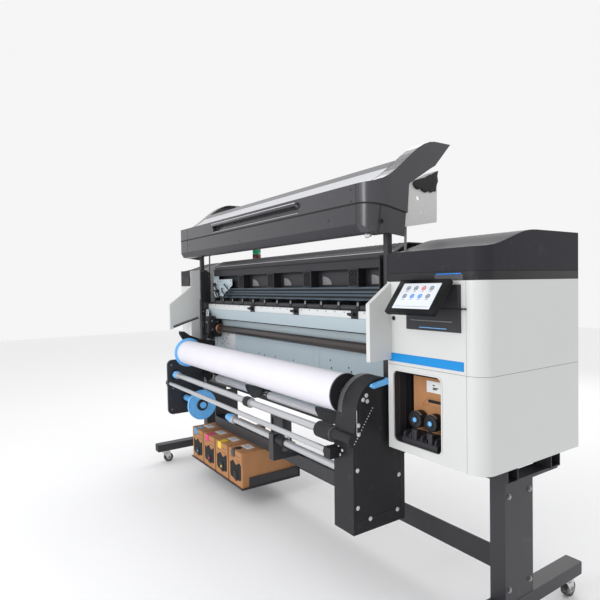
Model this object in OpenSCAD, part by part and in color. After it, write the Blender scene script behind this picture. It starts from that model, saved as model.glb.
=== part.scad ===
// Large format roll-to-roll plotter on a castor stand, shown with its hood raised.
// Frame: X to the right as seen from the front, Y to the back, Z up. The origin is on the floor,
// under the middle of the overall box.

/* [Overall] */
// Overall width over both cabinets
total_w = 2583; // [2200:1:3100]
// Overall depth over the foot bars
total_d = 852; // [780:1:1030]
// Height of the fixed covers' ridge
total_h = 1402; // [1350:1:1690]

/* [Cabinets] */
// Width of the left cabinet
left_cab_w = 221.5; // [180:0.5:300]
// Width of the right cabinet
right_cab_w = 421.5; // [400:0.5:520]
// Depth of both cabinets
cab_d = 560; // [480:1:680]
// Height of the cabinets' lower edge
cab_bottom = 608; // [560:1:640]
// Height of the dark top covers at their front
cover_h = 107; // [90:1:125]
// Rise of the covers from front edge to ridge
cover_rise = 62; // [40:1:70]
// Wall of cabinets and covers
wall = 4; // [3:0.5:6]
// Radius of the cabinets' outer front corner
corner_r = 60; // [30:1:80]
// How far the foot bars reach ahead of the cabinets
front_gap = 209; // [180:1:230]

/* [Media path] */
// Height of the platen's surface
platen_z = 1110; // [1060:1:1120]
// Outside radius of the media roll
roll_r = 76; // [50:1:84]
// Radius of the blue roll flanges
flange_r = 92; // [86:1:100]
// Radius of the diverter tube
diverter_r = 23.5; // [16:0.5:26]
// Radius of the spindles that carry flanges and cores
spindle_r = 20; // [14:0.5:24]
// Radial clearance between a turning shaft and its bore
run_clear = 0.05; // [0.02:0.01:0.1]

/* [Hood] */
// Height of the raised hood's lower front corner above the fixed ridge
hood_lift = 23; // [10:1:60]
// Height of the hood's front
hood_h = 187; // [150:1:200]
// Front to back depth of the hood's middle
hood_d = 190; // [150:1:200]
// Wall of the hood's shells
hood_wall = 4; // [3:0.5:6]
// Travel of the hood's lift posts
stroke = 285; // [250:1:290]

/* [Stand] */
// Height of a foot bar's underside, which is the castors' height
castor_h = 82; // [80:1:95]
// Height of a foot bar
foot_h = 49; // [40:1:60]
// Width of a foot bar
foot_w = 62; // [50:1:80]
// Radius of a castor wheel
wheel_r = 30; // [24:1:30]

/* [Touch screen] */
// Width of the screen
screen_w = 222; // [180:1:230]
// Height of the screen
screen_h = 140; // [110:1:150]
// Thickness of the screen
screen_t = 14; // [10:1:18]
// Lean of the screen back from vertical
screen_lean = 38; // [20:1:45]

/* [Hidden] */
$fn = 48;

// Plan of the machine
x_left = -total_w / 2;
x_right = total_w / 2;
gap_l = x_left + left_cab_w;
gap_r = x_right - right_cab_w;
mid = (gap_l + gap_r) / 2;
half = (gap_r - gap_l) / 2;
y_front = -total_d / 2 + front_gap;
y_back = y_front + cab_d;
bay = 100;
zone = half - bay;
plate_t = 10;
zx0 = mid - zone;
zx1 = mid + zone;
face_gap = 4;

// Heights
cover_edge = total_h - cover_rise;
panel_top = cover_edge - cover_h;
beam_h = 60;
beam_z = cab_bottom - beam_h;

// Print zone, front to back
fascia_y = y_front + 132;
fascia_z0 = total_h - 106;
fascia_z1 = total_h - 61;
module_z0 = total_h - 188;
rail_z0 = total_h - 249;
rail_z1 = module_z0;
platen_y = y_front + 87;
platen_t = 60;
feed_r = 18;
feed_y = platen_y + 30;
feed_z = platen_z - feed_r;
pinch_r = 12;
pinch_z = platen_z + pinch_r + 0.3;
pinch_shaft = 5;
apron_z0 = platen_z - 98;
diverter_y = y_front + 119;
diverter_z = platen_z - 163;
panel_y = y_front + 151;

// Roll zone
roll_y = y_front - 95;
roll_z = platen_z - 310;
roll_x0 = zx0 + 74;
flange_t = 9;
house_x0 = zx1 - 35;
roll_x1 = house_x0 - 10;
house_x1 = zx1 + 80;
plate_x0 = zx0 - 30;
plate_x1 = zx0 - 15;
take_y = y_front - 83;
take_z = roll_z - 313;
upper_y = y_front - 158;
upper_z = roll_z - 148;
bar_y = y_front - 190;
bar_z = roll_z - 206;
tube_r = 16;
stub_r = 12;
exit_y = y_front + 87;
exit_z = roll_z - 185;
exit_r = 22;
exit_shaft = 8;
feed_stub = 8;
house_y = y_front - 21;
house_z = roll_z - 51;
house_r = 122;
house_back = y_front + 99;
house_z0 = cab_bottom - 308;
tbeam_y = y_front + 37;
tbeam_z0 = house_z0 + 26;
tbeam_z1 = tbeam_z0 + 60;

// Hood: its side outline at rest, in distances from the front face and the lower front corner
hood_w = half - face_gap;
hood_y = y_front - 68;
hood_z = total_h + hood_lift;
seam_slope = -0.2;
seam_z = hood_z + 111;
bevel_h = 32;
seam_gap = 1.5;
hood_corner = 90;
hood_end_r = 16;
sail_y1 = 437;
sail_rise = 185;
pan_d = 60;
pivot_y = hood_y + 130;
pivot_z = hood_z + 25;
pin_r = 8;
post_w = 24;
guide_w = 32;
post_x = half - 60;
strut_x = half - 32;
strut_r = 8;
rod_r = 5;
guide_z1 = pivot_z - stroke - 25;
guide_z0 = guide_z1 - 340;
post_z0 = guide_z1 - 100;
bracket_x = half - 20;
bracket_t = 3;
strut_y = y_front + 117;
strut_z = guide_z0 + 80;
strut_top_y = pivot_y + 75;
strut_top_z = pivot_z + 150;
strut_run = strut_top_y - strut_y;
strut_rise = strut_top_z - strut_z;
strut_lean = -atan2(strut_run, strut_rise);
strut_len = sqrt(strut_run * strut_run + strut_rise * strut_rise);
cylinder_len = 390;
rod_len = 405;

// Stand
foot_x = total_w / 2 - 63.5;
foot_z1 = castor_h + foot_h;
column_w = 80;
column_d = 160;
column_y = y_front + 237;
saddle_t = 12;
castor_in = 60;
fork_plate = 6;
wheel_w = 26;
axle_r = 6;
trail = 18;

// Ink store under the take-up
carton_w = 165;
carton_pitch = 178;
carton_d = 350;
carton_y = y_front - 73;
rack_z = 108;
rack_t = 6;
carton_top = tbeam_z0 - 18;
rack_x0 = zx0 + 65;
rest_gap = 0.3;

// Touch screen
bracket_z1 = panel_top - 13;
screen_x = gap_r + 216;
hinge_y = y_front - 17;
hinge_z = panel_top - 12;
hinge_r = 4;
knuckle_r = 8;
knuckle_w = 20;

// Ink bay in the right cabinet
bay_x0 = gap_r + 28;
bay_x1 = gap_r + 254;
bay_z0 = cab_bottom + 32;
bay_z1 = cab_bottom + 295;
liner_d = 220;
liner_t = 3;

// A box between two corners
module box(a, b) { translate(a) cube(b - a); }

// Extrudes a YZ outline along X, from xa to xb
module along_x(xa, xb) { translate([xa, 0, 0]) rotate([90, 0, 90]) linear_extrude(xb - xa) children(); }

// Extrudes an XZ outline along Y, from ya to yb
module along_y(ya, yb) { translate([0, yb, 0]) rotate([90, 0, 0]) linear_extrude(yb - ya) children(); }

// A round bar along X
module bar_x(xa, xb, y, z, r) { translate([xa, y, z]) rotate([0, 90, 0]) cylinder(r = r, h = xb - xa); }

// A rectangle with round corners, between two corners
module round_rect(a, b, r) {
  translate([a[0] + r, a[1]]) square([b[0] - a[0] - 2 * r, b[1] - a[1]]);
  translate([a[0], a[1] + r]) square([b[0] - a[0], b[1] - a[1] - 2 * r]);
  for (x = [a[0] + r, b[0] - r], y = [a[1] + r, b[1] - r]) translate([x, y]) circle(r);
}

// Puts a right-hand piece on both sides of the gap between the cabinets
module both_sides() {
  for (s = [-1, 1]) translate([mid, 0, 0]) scale_x(s) children();
}
module scale_x(s) { if (s < 0) mirror([1, 0, 0]) children(); else children(); }

// Plan outline of a cabinet: square, with one round outer front corner
module cabinet_plan(xa, xb, inset, right) {
  r = corner_r - inset;
  a = [xa + inset, y_front + inset];
  b = [xb - inset, y_back - inset];
  cx = right ? b[0] - r : a[0] + r;
  difference() {
    translate(a) square(b - a);
    translate([right ? cx : a[0] - 1, a[1] - 1]) square([r + 1, r + 1]);
  }
  translate([cx, a[1] + r]) circle(r);
}

// Side outline of the top covers: a smooth rise from the front edge to the ridge
cover_run = 290;
cover_steps = 10;
function smooth(t) = (1 - cos(180 * t)) / 2;
module cover_profile(inset) {
  polygon(concat(
    [[y_front, panel_top - inset]],
    [for (i = [0 : cover_steps]) let (t = i / cover_steps)
      [y_front + t * cover_run, cover_edge + cover_rise * smooth(t) - inset]],
    [[y_back, total_h - inset], [y_back, panel_top - inset]]));
}

module top_covers() color("#3f3e43") {
  for (c = [[x_left, gap_l - wall, false], [gap_r + wall, x_right, true]]) difference() {
    intersection() {
      translate([0, 0, panel_top]) linear_extrude(total_h) cabinet_plan(c[0], c[1], 0, c[2]);
      along_x(c[0], c[1]) cover_profile(0);
    }
    intersection() {
      translate([0, 0, panel_top - 1]) linear_extrude(total_h) cabinet_plan(c[0], c[1], wall, c[2]);
      along_x(c[0], c[1]) cover_profile(wall);
    }
  }
}

// Inner wall of a cabinet, which rises beside the cover up to its curve
module inner_wall(xa) {
  along_x(xa, xa + wall) difference() {
    cover_profile(1);
    translate([y_front - 1, panel_top - 10]) square([cab_d + 2, 10]);
  }
}

module left_cabinet() color("#e4e7e6") {
  difference() {
    translate([0, 0, cab_bottom]) linear_extrude(panel_top - cab_bottom)
      cabinet_plan(x_left, gap_l, 0, false);
    translate([0, 0, cab_bottom + wall]) linear_extrude(panel_top - cab_bottom)
      cabinet_plan(x_left, gap_l, wall, false);
  }
  inner_wall(gap_l - wall);
}

seam_x = gap_r + 358.5;
module right_cabinet() color("#e4e7e6") {
  difference() {
    translate([0, 0, cab_bottom]) linear_extrude(panel_top - cab_bottom)
      cabinet_plan(gap_r, x_right, 0, true);
    translate([0, 0, cab_bottom + wall]) linear_extrude(panel_top - cab_bottom)
      cabinet_plan(gap_r, x_right, wall, true);
    along_y(y_front - 1, y_front + wall + 1)
      round_rect([bay_x0, bay_z0], [bay_x1, bay_z1], 20);
    box([seam_x - 1, y_front - 1, cab_bottom - 1], [seam_x + 1, y_front + 1.5, panel_top + 1]);
    translate([button_x, y_front - 1, button_z]) rotate([-90, 0, 0])
      cylinder(r = button_r + rest_gap, h = wall + 2);
  }
  inner_wall(gap_r);
}

// Plates that stand ahead of the cabinets, with a sloping top edge
cheek_t = 20;
module cheeks() color("#dfe4e5") {
  along_x(gap_l - cheek_t, gap_l) polygon([[y_front, total_h - 178], [y_front - 150, total_h - 290],
    [y_front - 150, total_h - 462], [y_front, total_h - 411]]);
  along_x(gap_r, gap_r + cheek_t) polygon([[y_front, total_h - 173], [y_front - 108, total_h - 249],
    [y_front - 108, total_h - 461], [y_front, total_h - 458]]);
}

button_r = 8;
button_x = gap_r + 33;
button_z = panel_top - 135;
module power_button() color("#3a3a3e") {
  translate([button_x, y_front - 2, button_z]) rotate([-90, 0, 0]) {
    cylinder(r = button_r, h = wall + 6);
    translate([0, 0, wall + 5]) cylinder(r = button_r + 3, h = 3);
  }
}

module ink_bay_liner() color("#26262a") {
  difference() {
    along_y(y_front + wall, y_front + wall + liner_d)
      round_rect([bay_x0 - liner_t, bay_z0 - liner_t], [bay_x1 + liner_t, bay_z1 + liner_t], 20);
    along_y(y_front + wall - 1, y_front + wall + liner_d - liner_t)
      round_rect([bay_x0, bay_z0], [bay_x1, bay_z1], 17);
  }
  along_x(bay_x0 + 30, bay_x1 - 30) polygon([[y_front + 12, bay_z0], [y_front + 12, bay_z0 + 18],
    [y_front + 70, bay_z0 + 42], [y_front + 200, bay_z0 + 42], [y_front + 200, bay_z0]]);
}

// The ink carton in the bay, with its two round connectors
module bay_carton() color("#be824b") {
  z0 = bay_z0 + 42 + rest_gap;
  box([bay_x0 + 35, y_front + 70, z0], [bay_x1 - 35, y_front + 190, bay_z1 - 22]);
  for (dx = [-36, 36]) translate([(bay_x0 + bay_x1) / 2 + dx, y_front + 30, z0 + 45])
    rotate([-90, 0, 0]) cylinder(r = 28, h = 40);
}

// Side plates of the print zone, with lugs ahead for the guide rollers at the left and the diverter
// tube at the right
module side_plates() color("#9aa4aa") {
  difference() {
    union() {
      both_sides() box([zone, fascia_y + 1, cab_bottom], [zone + plate_t, y_back - 20, total_h - 62]);
      box([zx0 - plate_t, exit_y - 16, exit_z - 18], [zx0, fascia_y + 1, exit_z + 30]);
      box([zx1, diverter_y - 20, diverter_z - 22], [zx1 + plate_t, fascia_y + 1, diverter_z + 22]);
    }
    both_sides() for (z = [cab_bottom + 110, cab_bottom + 330])
      box([zone - 1, y_front + 320, z], [zone + plate_t + 1, y_back - 90, z + 140]);
    bar_x(zx0 - plate_t - 1, zx0 + 1, exit_y, exit_z, exit_shaft + run_clear);
    bar_x(zx1 - 1, zx1 + plate_t + 1, diverter_y, diverter_z, stub_r + run_clear);
  }
}

// Hollow beams that the cabinets and side plates stand on
beam_wall = 4;
beam_ys = [y_front + 157, y_front + 417];
module frame_beams() color("#5b5e63") {
  for (y = beam_ys) difference() {
    box([x_left + 24, y, beam_z], [x_right - 24, y + beam_h, cab_bottom]);
    box([x_left + 23, y + beam_wall, beam_z + beam_wall],
      [x_right - 23, y + beam_h - beam_wall, cab_bottom - beam_wall]);
  }
}

module rear_panel() color("#4a4a4f") {
  difference() {
    box([gap_l, y_back - 20, cab_bottom], [gap_r, y_back - 17, total_h - 40]);
    for (i = [0 : 17]) translate([mid - 700 + i * 24, y_back - 21, cab_bottom + 120])
      cube([10, 5, 90]);
    box([gap_r - 170, y_back - 21, cab_bottom + 60], [gap_r - 110, y_back - 16, cab_bottom + 110]);
  }
  difference() {
    box([gap_r - 178, y_back - 17, cab_bottom + 52], [gap_r - 102, y_back - 9, cab_bottom + 118]);
    box([gap_r - 165, y_back - 18, cab_bottom + 65], [gap_r - 115, y_back - 8, cab_bottom + 105]);
  }
}

// The fixed cover over the print beam, a bent sheet
cover_front_y = fascia_y + 5;
cover_front_z = total_h - 42;
module beam_cover() color("#6e6d71") {
  t = 4;
  along_x(zx0 - plate_t, zx1 + plate_t) polygon([[cover_front_y, cover_front_z],
    [cover_front_y + 35, total_h - 24], [cover_front_y + 70, total_h - 5],
    [y_back - 17, total_h - 5], [y_back - 17, total_h - 40], [y_back - 20, total_h - 40],
    [y_back - 20, total_h - 5 - t], [cover_front_y + 71, total_h - 5 - t],
    [cover_front_y + 36, total_h - 24 - t], [cover_front_y + 12, total_h - 40],
    [cover_front_y + 12, fascia_z1], [cover_front_y + 8, fascia_z1],
    [cover_front_y + 8, cover_front_z - 3], [cover_front_y, cover_front_z - 3]]);
}

module fascia() color("#55555a") {
  along_x(zx0, zx1) polygon([[fascia_y, fascia_z0], [fascia_y, fascia_z1 - 8],
    [fascia_y - 5, fascia_z1 - 6], [fascia_y - 5, fascia_z1], [fascia_y + 20, fascia_z1],
    [fascia_y + 20, fascia_z0]]);
}

// Drying air modules with slanted grille bars in front of a backing sheet
module_n = 4;
module_pitch = 360;
module_w = 70;
module air_modules() color("#2e2e31") {
  box([zx0, fascia_y + 37, module_z0], [zx1, fascia_y + 41, fascia_z0]);
  for (i = [0 : module_n - 1]) translate([mid - 492 + i * module_pitch, fascia_y - 7, module_z0]) {
    difference() {
      cube([module_w, 44, fascia_z0 - module_z0]);
      translate([4, -1, 4]) cube([module_w - 8, 36, fascia_z0 - module_z0 - 8]);
    }
    for (k = [0 : 5]) translate([4, 2, 6 + k * 12]) cube([module_w - 8, 3, 5]);
  }
}

// Extruded beam with front grooves, and the two round ways of the carriage
way_r = 10;
way_y = [fascia_y + 90, fascia_y + 170];
way_z = rail_z1 - 20;
module carriage_rail() color("#8f9ba3") {
  difference() {
    box([zx0, fascia_y + 5, rail_z0], [zx1, fascia_y + 60, rail_z1]);
    for (g = [[8, 12], [27, 8], [42, 12]])
      box([zx0 - 1, fascia_y + 4, rail_z0 + g[0]], [zx1 + 1, fascia_y + 11, rail_z0 + g[0] + g[1]]);
    box([zx0 - 1, fascia_y + 16, rail_z0 + 5], [zx1 + 1, fascia_y + 55, rail_z1 - 5]);
  }
  for (y = way_y) bar_x(zx0, zx1, y, way_z, way_r);
}

belt_y = fascia_y + 130;
module carriage_belt() color("#202022") {
  difference() {
    along_y(belt_y - 5, belt_y + 5)
      round_rect([zx0 + 20, way_z + 62], [zx1 - 20, way_z + 92], 14.9);
    along_y(belt_y - 6, belt_y + 6)
      round_rect([zx0 + 22, way_z + 64], [zx1 - 22, way_z + 90], 12.9);
  }
  for (x = [zx0 + 36, zx1 - 36]) translate([x, belt_y - 8, way_z + 77]) rotate([-90, 0, 0])
    cylinder(r = 12.9, h = 16);
  for (s = [0, 1]) box([s ? zx1 - 42 : zx0, belt_y + 8, way_z + 71],
    [s ? zx1 : zx0 + 42, belt_y + 16, way_z + 83]);
}

carriage_w = 160;
module carriage() color("#2b2b2e") {
  x0 = zx1 - 20 - carriage_w;
  difference() {
    box([x0, fascia_y + 66, platen_z + 8], [x0 + carriage_w, fascia_y + 200, way_z + 56]);
    for (y = way_y) bar_x(x0 - 1, x0 + carriage_w + 1, y, way_z, way_r + run_clear);
  }
}

module platen() color("#e9ebec") {
  difference() {
    along_x(zx0, zx1) polygon([[platen_y, platen_z - 30], [platen_y, platen_z - 2],
      [platen_y + 2, platen_z], [platen_y + 240, platen_z], [platen_y + 240, platen_z - platen_t],
      [platen_y + 12, platen_z - platen_t]]);
    bar_x(zx0 + 10, zx1 - 10, feed_y, feed_z, feed_r + 1);
    bar_x(zx0 - 1, zx1 + 1, feed_y, feed_z, feed_stub + run_clear);
  }
}

module feed_roller() color("#77797c") {
  bar_x(zx0 + 11, zx1 - 11, feed_y, feed_z, feed_r);
  bar_x(zx0 + 1, zx1 - 1, feed_y, feed_z, feed_stub);
}

pinch_n = 12;
pinch_pitch = (zx1 - zx0 - 120) / pinch_n;
module pinch_rollers() color("#3c3c40") {
  bar_x(zx0 + 50, zx1 - 50, feed_y, pinch_z, pinch_shaft);
  for (i = [0 : pinch_n - 1]) bar_x(zx0 + 60 + i * pinch_pitch + 12,
    zx0 + 60 + (i + 1) * pinch_pitch - 12, feed_y, pinch_z, pinch_r);
}

// Arms of the pinch rollers, and the clips that hold down the edges of the media
module edge_holders() color("#27272a") {
  for (i = [0 : pinch_n]) difference() {
    box([zx0 + 60 + i * pinch_pitch - 8, feed_y - 12, platen_z + 2],
      [zx0 + 60 + i * pinch_pitch + 8, fascia_y + 12, rail_z0]);
    bar_x(zx0 + 60 + i * pinch_pitch - 9, zx0 + 60 + i * pinch_pitch + 9, feed_y, pinch_z,
      pinch_shaft + run_clear);
  }
  for (dx = [-245, 215, 675]) translate([mid + dx, 0, 0]) {
    along_x(-22, 22) polygon([[platen_y - 4, platen_z - 34], [platen_y - 4, platen_z + 2],
      [platen_y + 8, platen_z + 2], [platen_y + 8, platen_z], [platen_y + 2, platen_z],
      [platen_y, platen_z - 2], [platen_y, platen_z - 34]]);
    along_x(-30, 8) polygon([[platen_y - 20, platen_z - 18], [platen_y - 20, platen_z - 8],
      [platen_y - 4, platen_z - 8], [platen_y - 4, platen_z - 24]]);
  }
}

// Apron under the platen, sheets behind the roll, and the service sheet at the left
panel_seams = [zx0, mid - 480, mid + 266, zx1];
module media_panel() color("#b4c3ca") {
  along_x(zx0, zx1) polygon([[platen_y - 3, platen_z - 34], [platen_y + 16, apron_z0],
    [platen_y + 34, apron_z0], [platen_y + 34, apron_z0 + 4], [platen_y + 20, apron_z0 + 4],
    [platen_y + 11.7, platen_z - platen_t], [platen_y + 1.3, platen_z - 34]]);
  for (i = [0 : 2]) difference() {
    box([panel_seams[i] + 0.4, panel_y, cab_bottom - 20],
      [panel_seams[i + 1] - 0.4, panel_y + 3, apron_z0 + 4]);
    for (k = [1 : 3]) for (z = [apron_z0 - 190, apron_z0 - 330]) translate([panel_seams[i] +
      k * (panel_seams[i + 1] - panel_seams[i]) / 4, panel_y - 1, z]) rotate([-90, 0, 0])
      cylinder(r = 6, h = 6);
  }
  box([zx0, fascia_y + 1, rail_z0 + rest_gap], [zx0 + 70, fascia_y + 5 - rest_gap, fascia_z0]);
}

module diverter_tube() color("#3a3230") {
  bar_x(zx0 + 60, zx1 - 20, diverter_y, diverter_z, diverter_r);
  bar_x(zx0 + 31, zx1 + 8, diverter_y, diverter_z, stub_r);
}

module diverter_brackets() color("#47474b") {
  difference() {
    union() {
      along_x(zx0, zx0 + 40) round_rect([y_front + 67, diverter_z - 60],
        [y_front + 133, diverter_z + 60], 20);
      along_x(zx0, zx0 + 60) round_rect([y_front + 97, diverter_z - 60],
        [panel_y, diverter_z + 60], 12);
    }
    bar_x(zx0 + 41, zx0 + 61, diverter_y, diverter_z, diverter_r + 4);
    bar_x(zx0 + 30, zx0 + 61, diverter_y, diverter_z, stub_r + run_clear);
    bar_x(zx0 - 1, zx0 + 41, y_front + 90, diverter_z + 35, 14);
  }
}

// The black plate that carries the left ends of the rolls and bars
module support_plate() color("#2a2a2d") {
  difference() {
    union() {
      along_x(plate_x0, plate_x1) {
        round_rect([y_front - 207, take_z - 100], [y_front + 47, roll_z - 52], 34);
        round_rect([roll_y - 40, roll_z - 100], [roll_y + 40, roll_z + 34], 16);
      }
      box([plate_x0, y_front + 30, cab_bottom], [zx0 - plate_t, y_front + 152, cab_bottom + 90]);
      box([plate_x0 - 16, bar_y - 15, bar_z - 20], [plate_x0, bar_y + 25, bar_z + 20]);
    }
    bar_x(plate_x0 - 20, plate_x1 + 1, bar_y, bar_z, stub_r);
    bar_x(plate_x0 - 1, plate_x1 + 1, upper_y, upper_z, stub_r + run_clear);
    bar_x(plate_x0 - 1, plate_x1 + 1, take_y, take_z, spindle_r + run_clear);
    bar_x(plate_x0 - 1, plate_x1 + 1, roll_y, roll_z, spindle_r + run_clear);
  }
}

module front_bar() color("#c9cacb") {
  bar_x(plate_x0 - 24, house_x0 + 30, bar_y, bar_z, stub_r);
}

// Housing of the roll drives at the right, with a toothed rim
rim_teeth = 23;
module drive_housing() color("#2c2c30") {
  difference() {
    union() {
      along_x(house_x0, house_x1) {
        translate([house_y, house_z]) circle(house_r, $fn = 96);
        polygon([[house_y - house_r, house_z], [y_front - 160, roll_z - 160],
          [y_front - 163, house_z0], [house_back, house_z0], [house_y + house_r, house_z]]);
        translate([upper_y, upper_z]) circle(24);
      }
      box([house_x0, bar_y - 20, bar_z - 20], [house_x0 + 40, y_front - 155, bar_z + 20]);
      for (i = [0 : rim_teeth - 1]) translate([0, house_y, house_z])
        rotate([i * 5, 0, 0]) translate([house_x0 - 8, -2, house_r - 11]) cube([9, 4, 9]);
    }
    bar_x(house_x0 - 1, house_x0 + 30, bar_y, bar_z, stub_r);
    bar_x(house_x0 - 1, house_x0 + 50, exit_y, exit_z, exit_shaft + run_clear);
    box([mid + post_x - 20, house_back - 60, cab_bottom + 60], [house_x1 + 1, house_back + 9, roll_z + 99]);
    bar_x(house_x0 - 1, house_x0 + 50, roll_y, roll_z, spindle_r + run_clear);
    bar_x(house_x0 - 1, house_x0 + 50, take_y, take_z, stub_r + run_clear);
    bar_x(house_x0 - 1, house_x0 + 50, upper_y, upper_z, stub_r + run_clear);
  }
  box([zx1 + 1, house_back, cab_bottom - 50], [house_x1, beam_ys[0], cab_bottom - 4]);
  bar_x(house_x1 - 1, house_x1 + 15, lever_y, lever_z, lever_pin);
}

// Lever that locks the roll drive, on the housing's end face
lever_y = house_y + 28;
lever_z = house_z + 106;
lever_pin = 6;
module lock_lever() color("#58a8e6") {
  difference() {
    union() {
      bar_x(house_x1 + rest_gap, house_x1 + 12, lever_y, lever_z, 13);
      along_x(house_x1 + rest_gap, house_x1 + 12) polygon([[lever_y + 3, lever_z - 11],
        [lever_y - 74, lever_z - 20], [lever_y - 86, lever_z - 12], [lever_y - 80, lever_z - 3],
        [lever_y + 3, lever_z + 11]]);
    }
    bar_x(house_x1 - 1, house_x1 + 16, lever_y, lever_z, lever_pin + run_clear);
  }
}

module media_roll() color("#f0eef4") {
  difference() {
    bar_x(roll_x0, roll_x1, roll_y, roll_z, roll_r);
    bar_x(roll_x0 - 1, roll_x1 + 1, roll_y, roll_z, spindle_r);
  }
}

// The spindle through the roll, with a flange at the paper's left end
module media_flanges() color("#5fb0ee") {
  bar_x(plate_x0 + 1, house_x0 + 40, roll_y, roll_z, spindle_r);
  difference() {
    bar_x(roll_x0 - flange_t, roll_x0, roll_y, roll_z, flange_r);
    bar_x(roll_x0 - flange_t - 1, roll_x0 + 1, roll_y, roll_z, spindle_r);
  }
}

module takeup_flange() color("#5fb0ee") {
  bar_x(plate_x0 + 1, zx0 + 272, take_y, take_z, spindle_r);
  difference() {
    bar_x(zx0 + 240, zx0 + 254, take_y, take_z, flange_r);
    bar_x(zx0 + 239, zx0 + 255, take_y, take_z, spindle_r);
  }
}

core_x0 = mid - 250;
core_bracket_x = mid + 250;
module takeup_core() color("#cfd0d1") {
  bar_x(core_x0 + 30, core_x0 + 90, take_y, take_z, tube_r + 6);
  bar_x(core_x0, core_x0 + 30, take_y, take_z, tube_r + 2);
  bar_x(core_x0 + 90, house_x0 - 1, take_y, take_z, tube_r);
  bar_x(house_x0 - 1, house_x0 + 49, take_y, take_z, stub_r);
}

module upper_roller() color("#cfd0d1") {
  bar_x(plate_x0 + 1, plate_x1 + 20, upper_y, upper_z, stub_r);
  bar_x(plate_x1 + 20, plate_x1 + 60, upper_y, upper_z, tube_r + 6);
  bar_x(plate_x1 + 60, house_x0 - 95, upper_y, upper_z, tube_r);
  bar_x(mid + 120, mid + 170, upper_y, upper_z, tube_r + 7);
  bar_x(house_x0 - 95, house_x0 - 1, upper_y, upper_z, 30);
  bar_x(house_x0 - 1, house_x0 + 49, upper_y, upper_z, stub_r);
}

// Beam across the front of the stand, its hanger and the bearing of the take-up core
module takeup_beam() color("#36363b") {
  difference() {
    box([zx0 + 190, tbeam_y, tbeam_z0], [house_x0, tbeam_y + 70, tbeam_z1]);
    box([zx0 + 194, tbeam_y + 4, tbeam_z0 + 4], [house_x0 + 1, tbeam_y + 66, tbeam_z1 - 4]);
  }
  box([zx0 + 180, tbeam_y, tbeam_z0], [zx0 + 190, beam_ys[0] + 40, beam_z]);
  difference() {
    union() {
      box([core_bracket_x, take_y - 8, tbeam_z1], [core_bracket_x + 40, tbeam_y + 40, tbeam_z1 + 20]);
      box([core_bracket_x, take_y - 26, tbeam_z1], [core_bracket_x + 40, take_y + 26, take_z + 26]);
    }
    bar_x(core_bracket_x - 1, core_bracket_x + 41, take_y, take_z, tube_r + run_clear);
  }
}

// Guide rollers under the media panel, between curved black guides
exit_runs = [[zx0 + 120, zx0 + 590], [zx0 + 800, zx0 + 1290]];
module exit_rollers() color("#8d8f92") {
  for (r = exit_runs) bar_x(r[0], r[1], exit_y, exit_z, exit_r);
  bar_x(zx0 - 8, house_x0 + 45, exit_y, exit_z, exit_shaft);
}

module ink_rack() color("#45454a") {
  x1 = rack_x0 + 4 * carton_pitch;
  box([rack_x0 - 10, carton_y - 8, rack_z], [x1, column_y + 60, rack_z + rack_t]);
  box([rack_x0 - 10, column_y + 54, rack_z + rack_t], [x1, column_y + 60, foot_z1 + 100]);
  for (i = [0 : 4]) box([rack_x0 - 10 + i * carton_pitch, carton_y + 40, rack_z + rack_t],
    [rack_x0 - 6 + i * carton_pitch, column_y + 54, rack_z + 60]);
}

// One carton of ink, with the round connector in its front
module ink_carton(i) color("#be824b") {
  x0 = rack_x0 + (i - 1) * carton_pitch;
  difference() {
    box([x0, carton_y, rack_z + rack_t + rest_gap], [x0 + carton_w, carton_y + carton_d, carton_top]);
    translate([x0 + carton_w / 2, carton_y - 1, rack_z + 60]) rotate([-90, 0, 0])
      cylinder(r = 34, h = 21);
  }
  translate([x0 + carton_w / 2, carton_y - 4, rack_z + 60]) rotate([-90, 0, 0]) cylinder(r = 24, h = 24);
}

beacon_x = mid - 530;
beacon_y = y_front + 280;
module beacon() color("#17b57c") {
  translate([beacon_x, beacon_y, total_h - 5]) {
    cylinder(r = 18, h = 20);
    translate([0, 0, 20]) cylinder(r = 26, h = 26);
    translate([0, 0, 46]) cylinder(r = 25, h = 28);
    translate([0, 0, 74]) cylinder(r = 26, h = 4);
  }
}

// Lift: square guides on the side plates, and the pins that carry the gas struts
module lift_guides() color("#3b3b3f") {
  both_sides() {
    difference() {
      box([post_x - guide_w / 2, pivot_y - guide_w / 2, guide_z0],
        [post_x + guide_w / 2, pivot_y + guide_w / 2, guide_z1]);
      box([post_x - post_w / 2 - 0.5, pivot_y - post_w / 2 - 0.5, guide_z0 - 1],
        [post_x + post_w / 2 + 0.5, pivot_y + post_w / 2 + 0.5, guide_z1 + 1]);
    }
    for (z = [guide_z0 + 150, guide_z1 - 60])
      box([zone + plate_t, pivot_y - 12, z], [post_x - guide_w / 2, fascia_y + 40, z + 40]);
    box([zone + plate_t, strut_y - 16, strut_z - 16], [zone + plate_t + 6, fascia_y + 60, strut_z + 16]);
    bar_x(zone + plate_t + 6, strut_x + 11, strut_y, strut_z, 6);
  }
}

module lift_posts() color("#4c4c50") {
  both_sides() difference() {
    box([post_x - post_w / 2, pivot_y - post_w / 2, post_z0],
      [post_x + post_w / 2, pivot_y + post_w / 2, pivot_z + 14]);
    bar_x(post_x - post_w, post_x + post_w, pivot_y, pivot_z, pin_r + run_clear);
  }
}

// Follows the strut's line, from its lower pin
module on_strut() {
  translate([strut_x, strut_y, strut_z]) rotate([strut_lean, 0, 0]) children();
}

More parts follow.
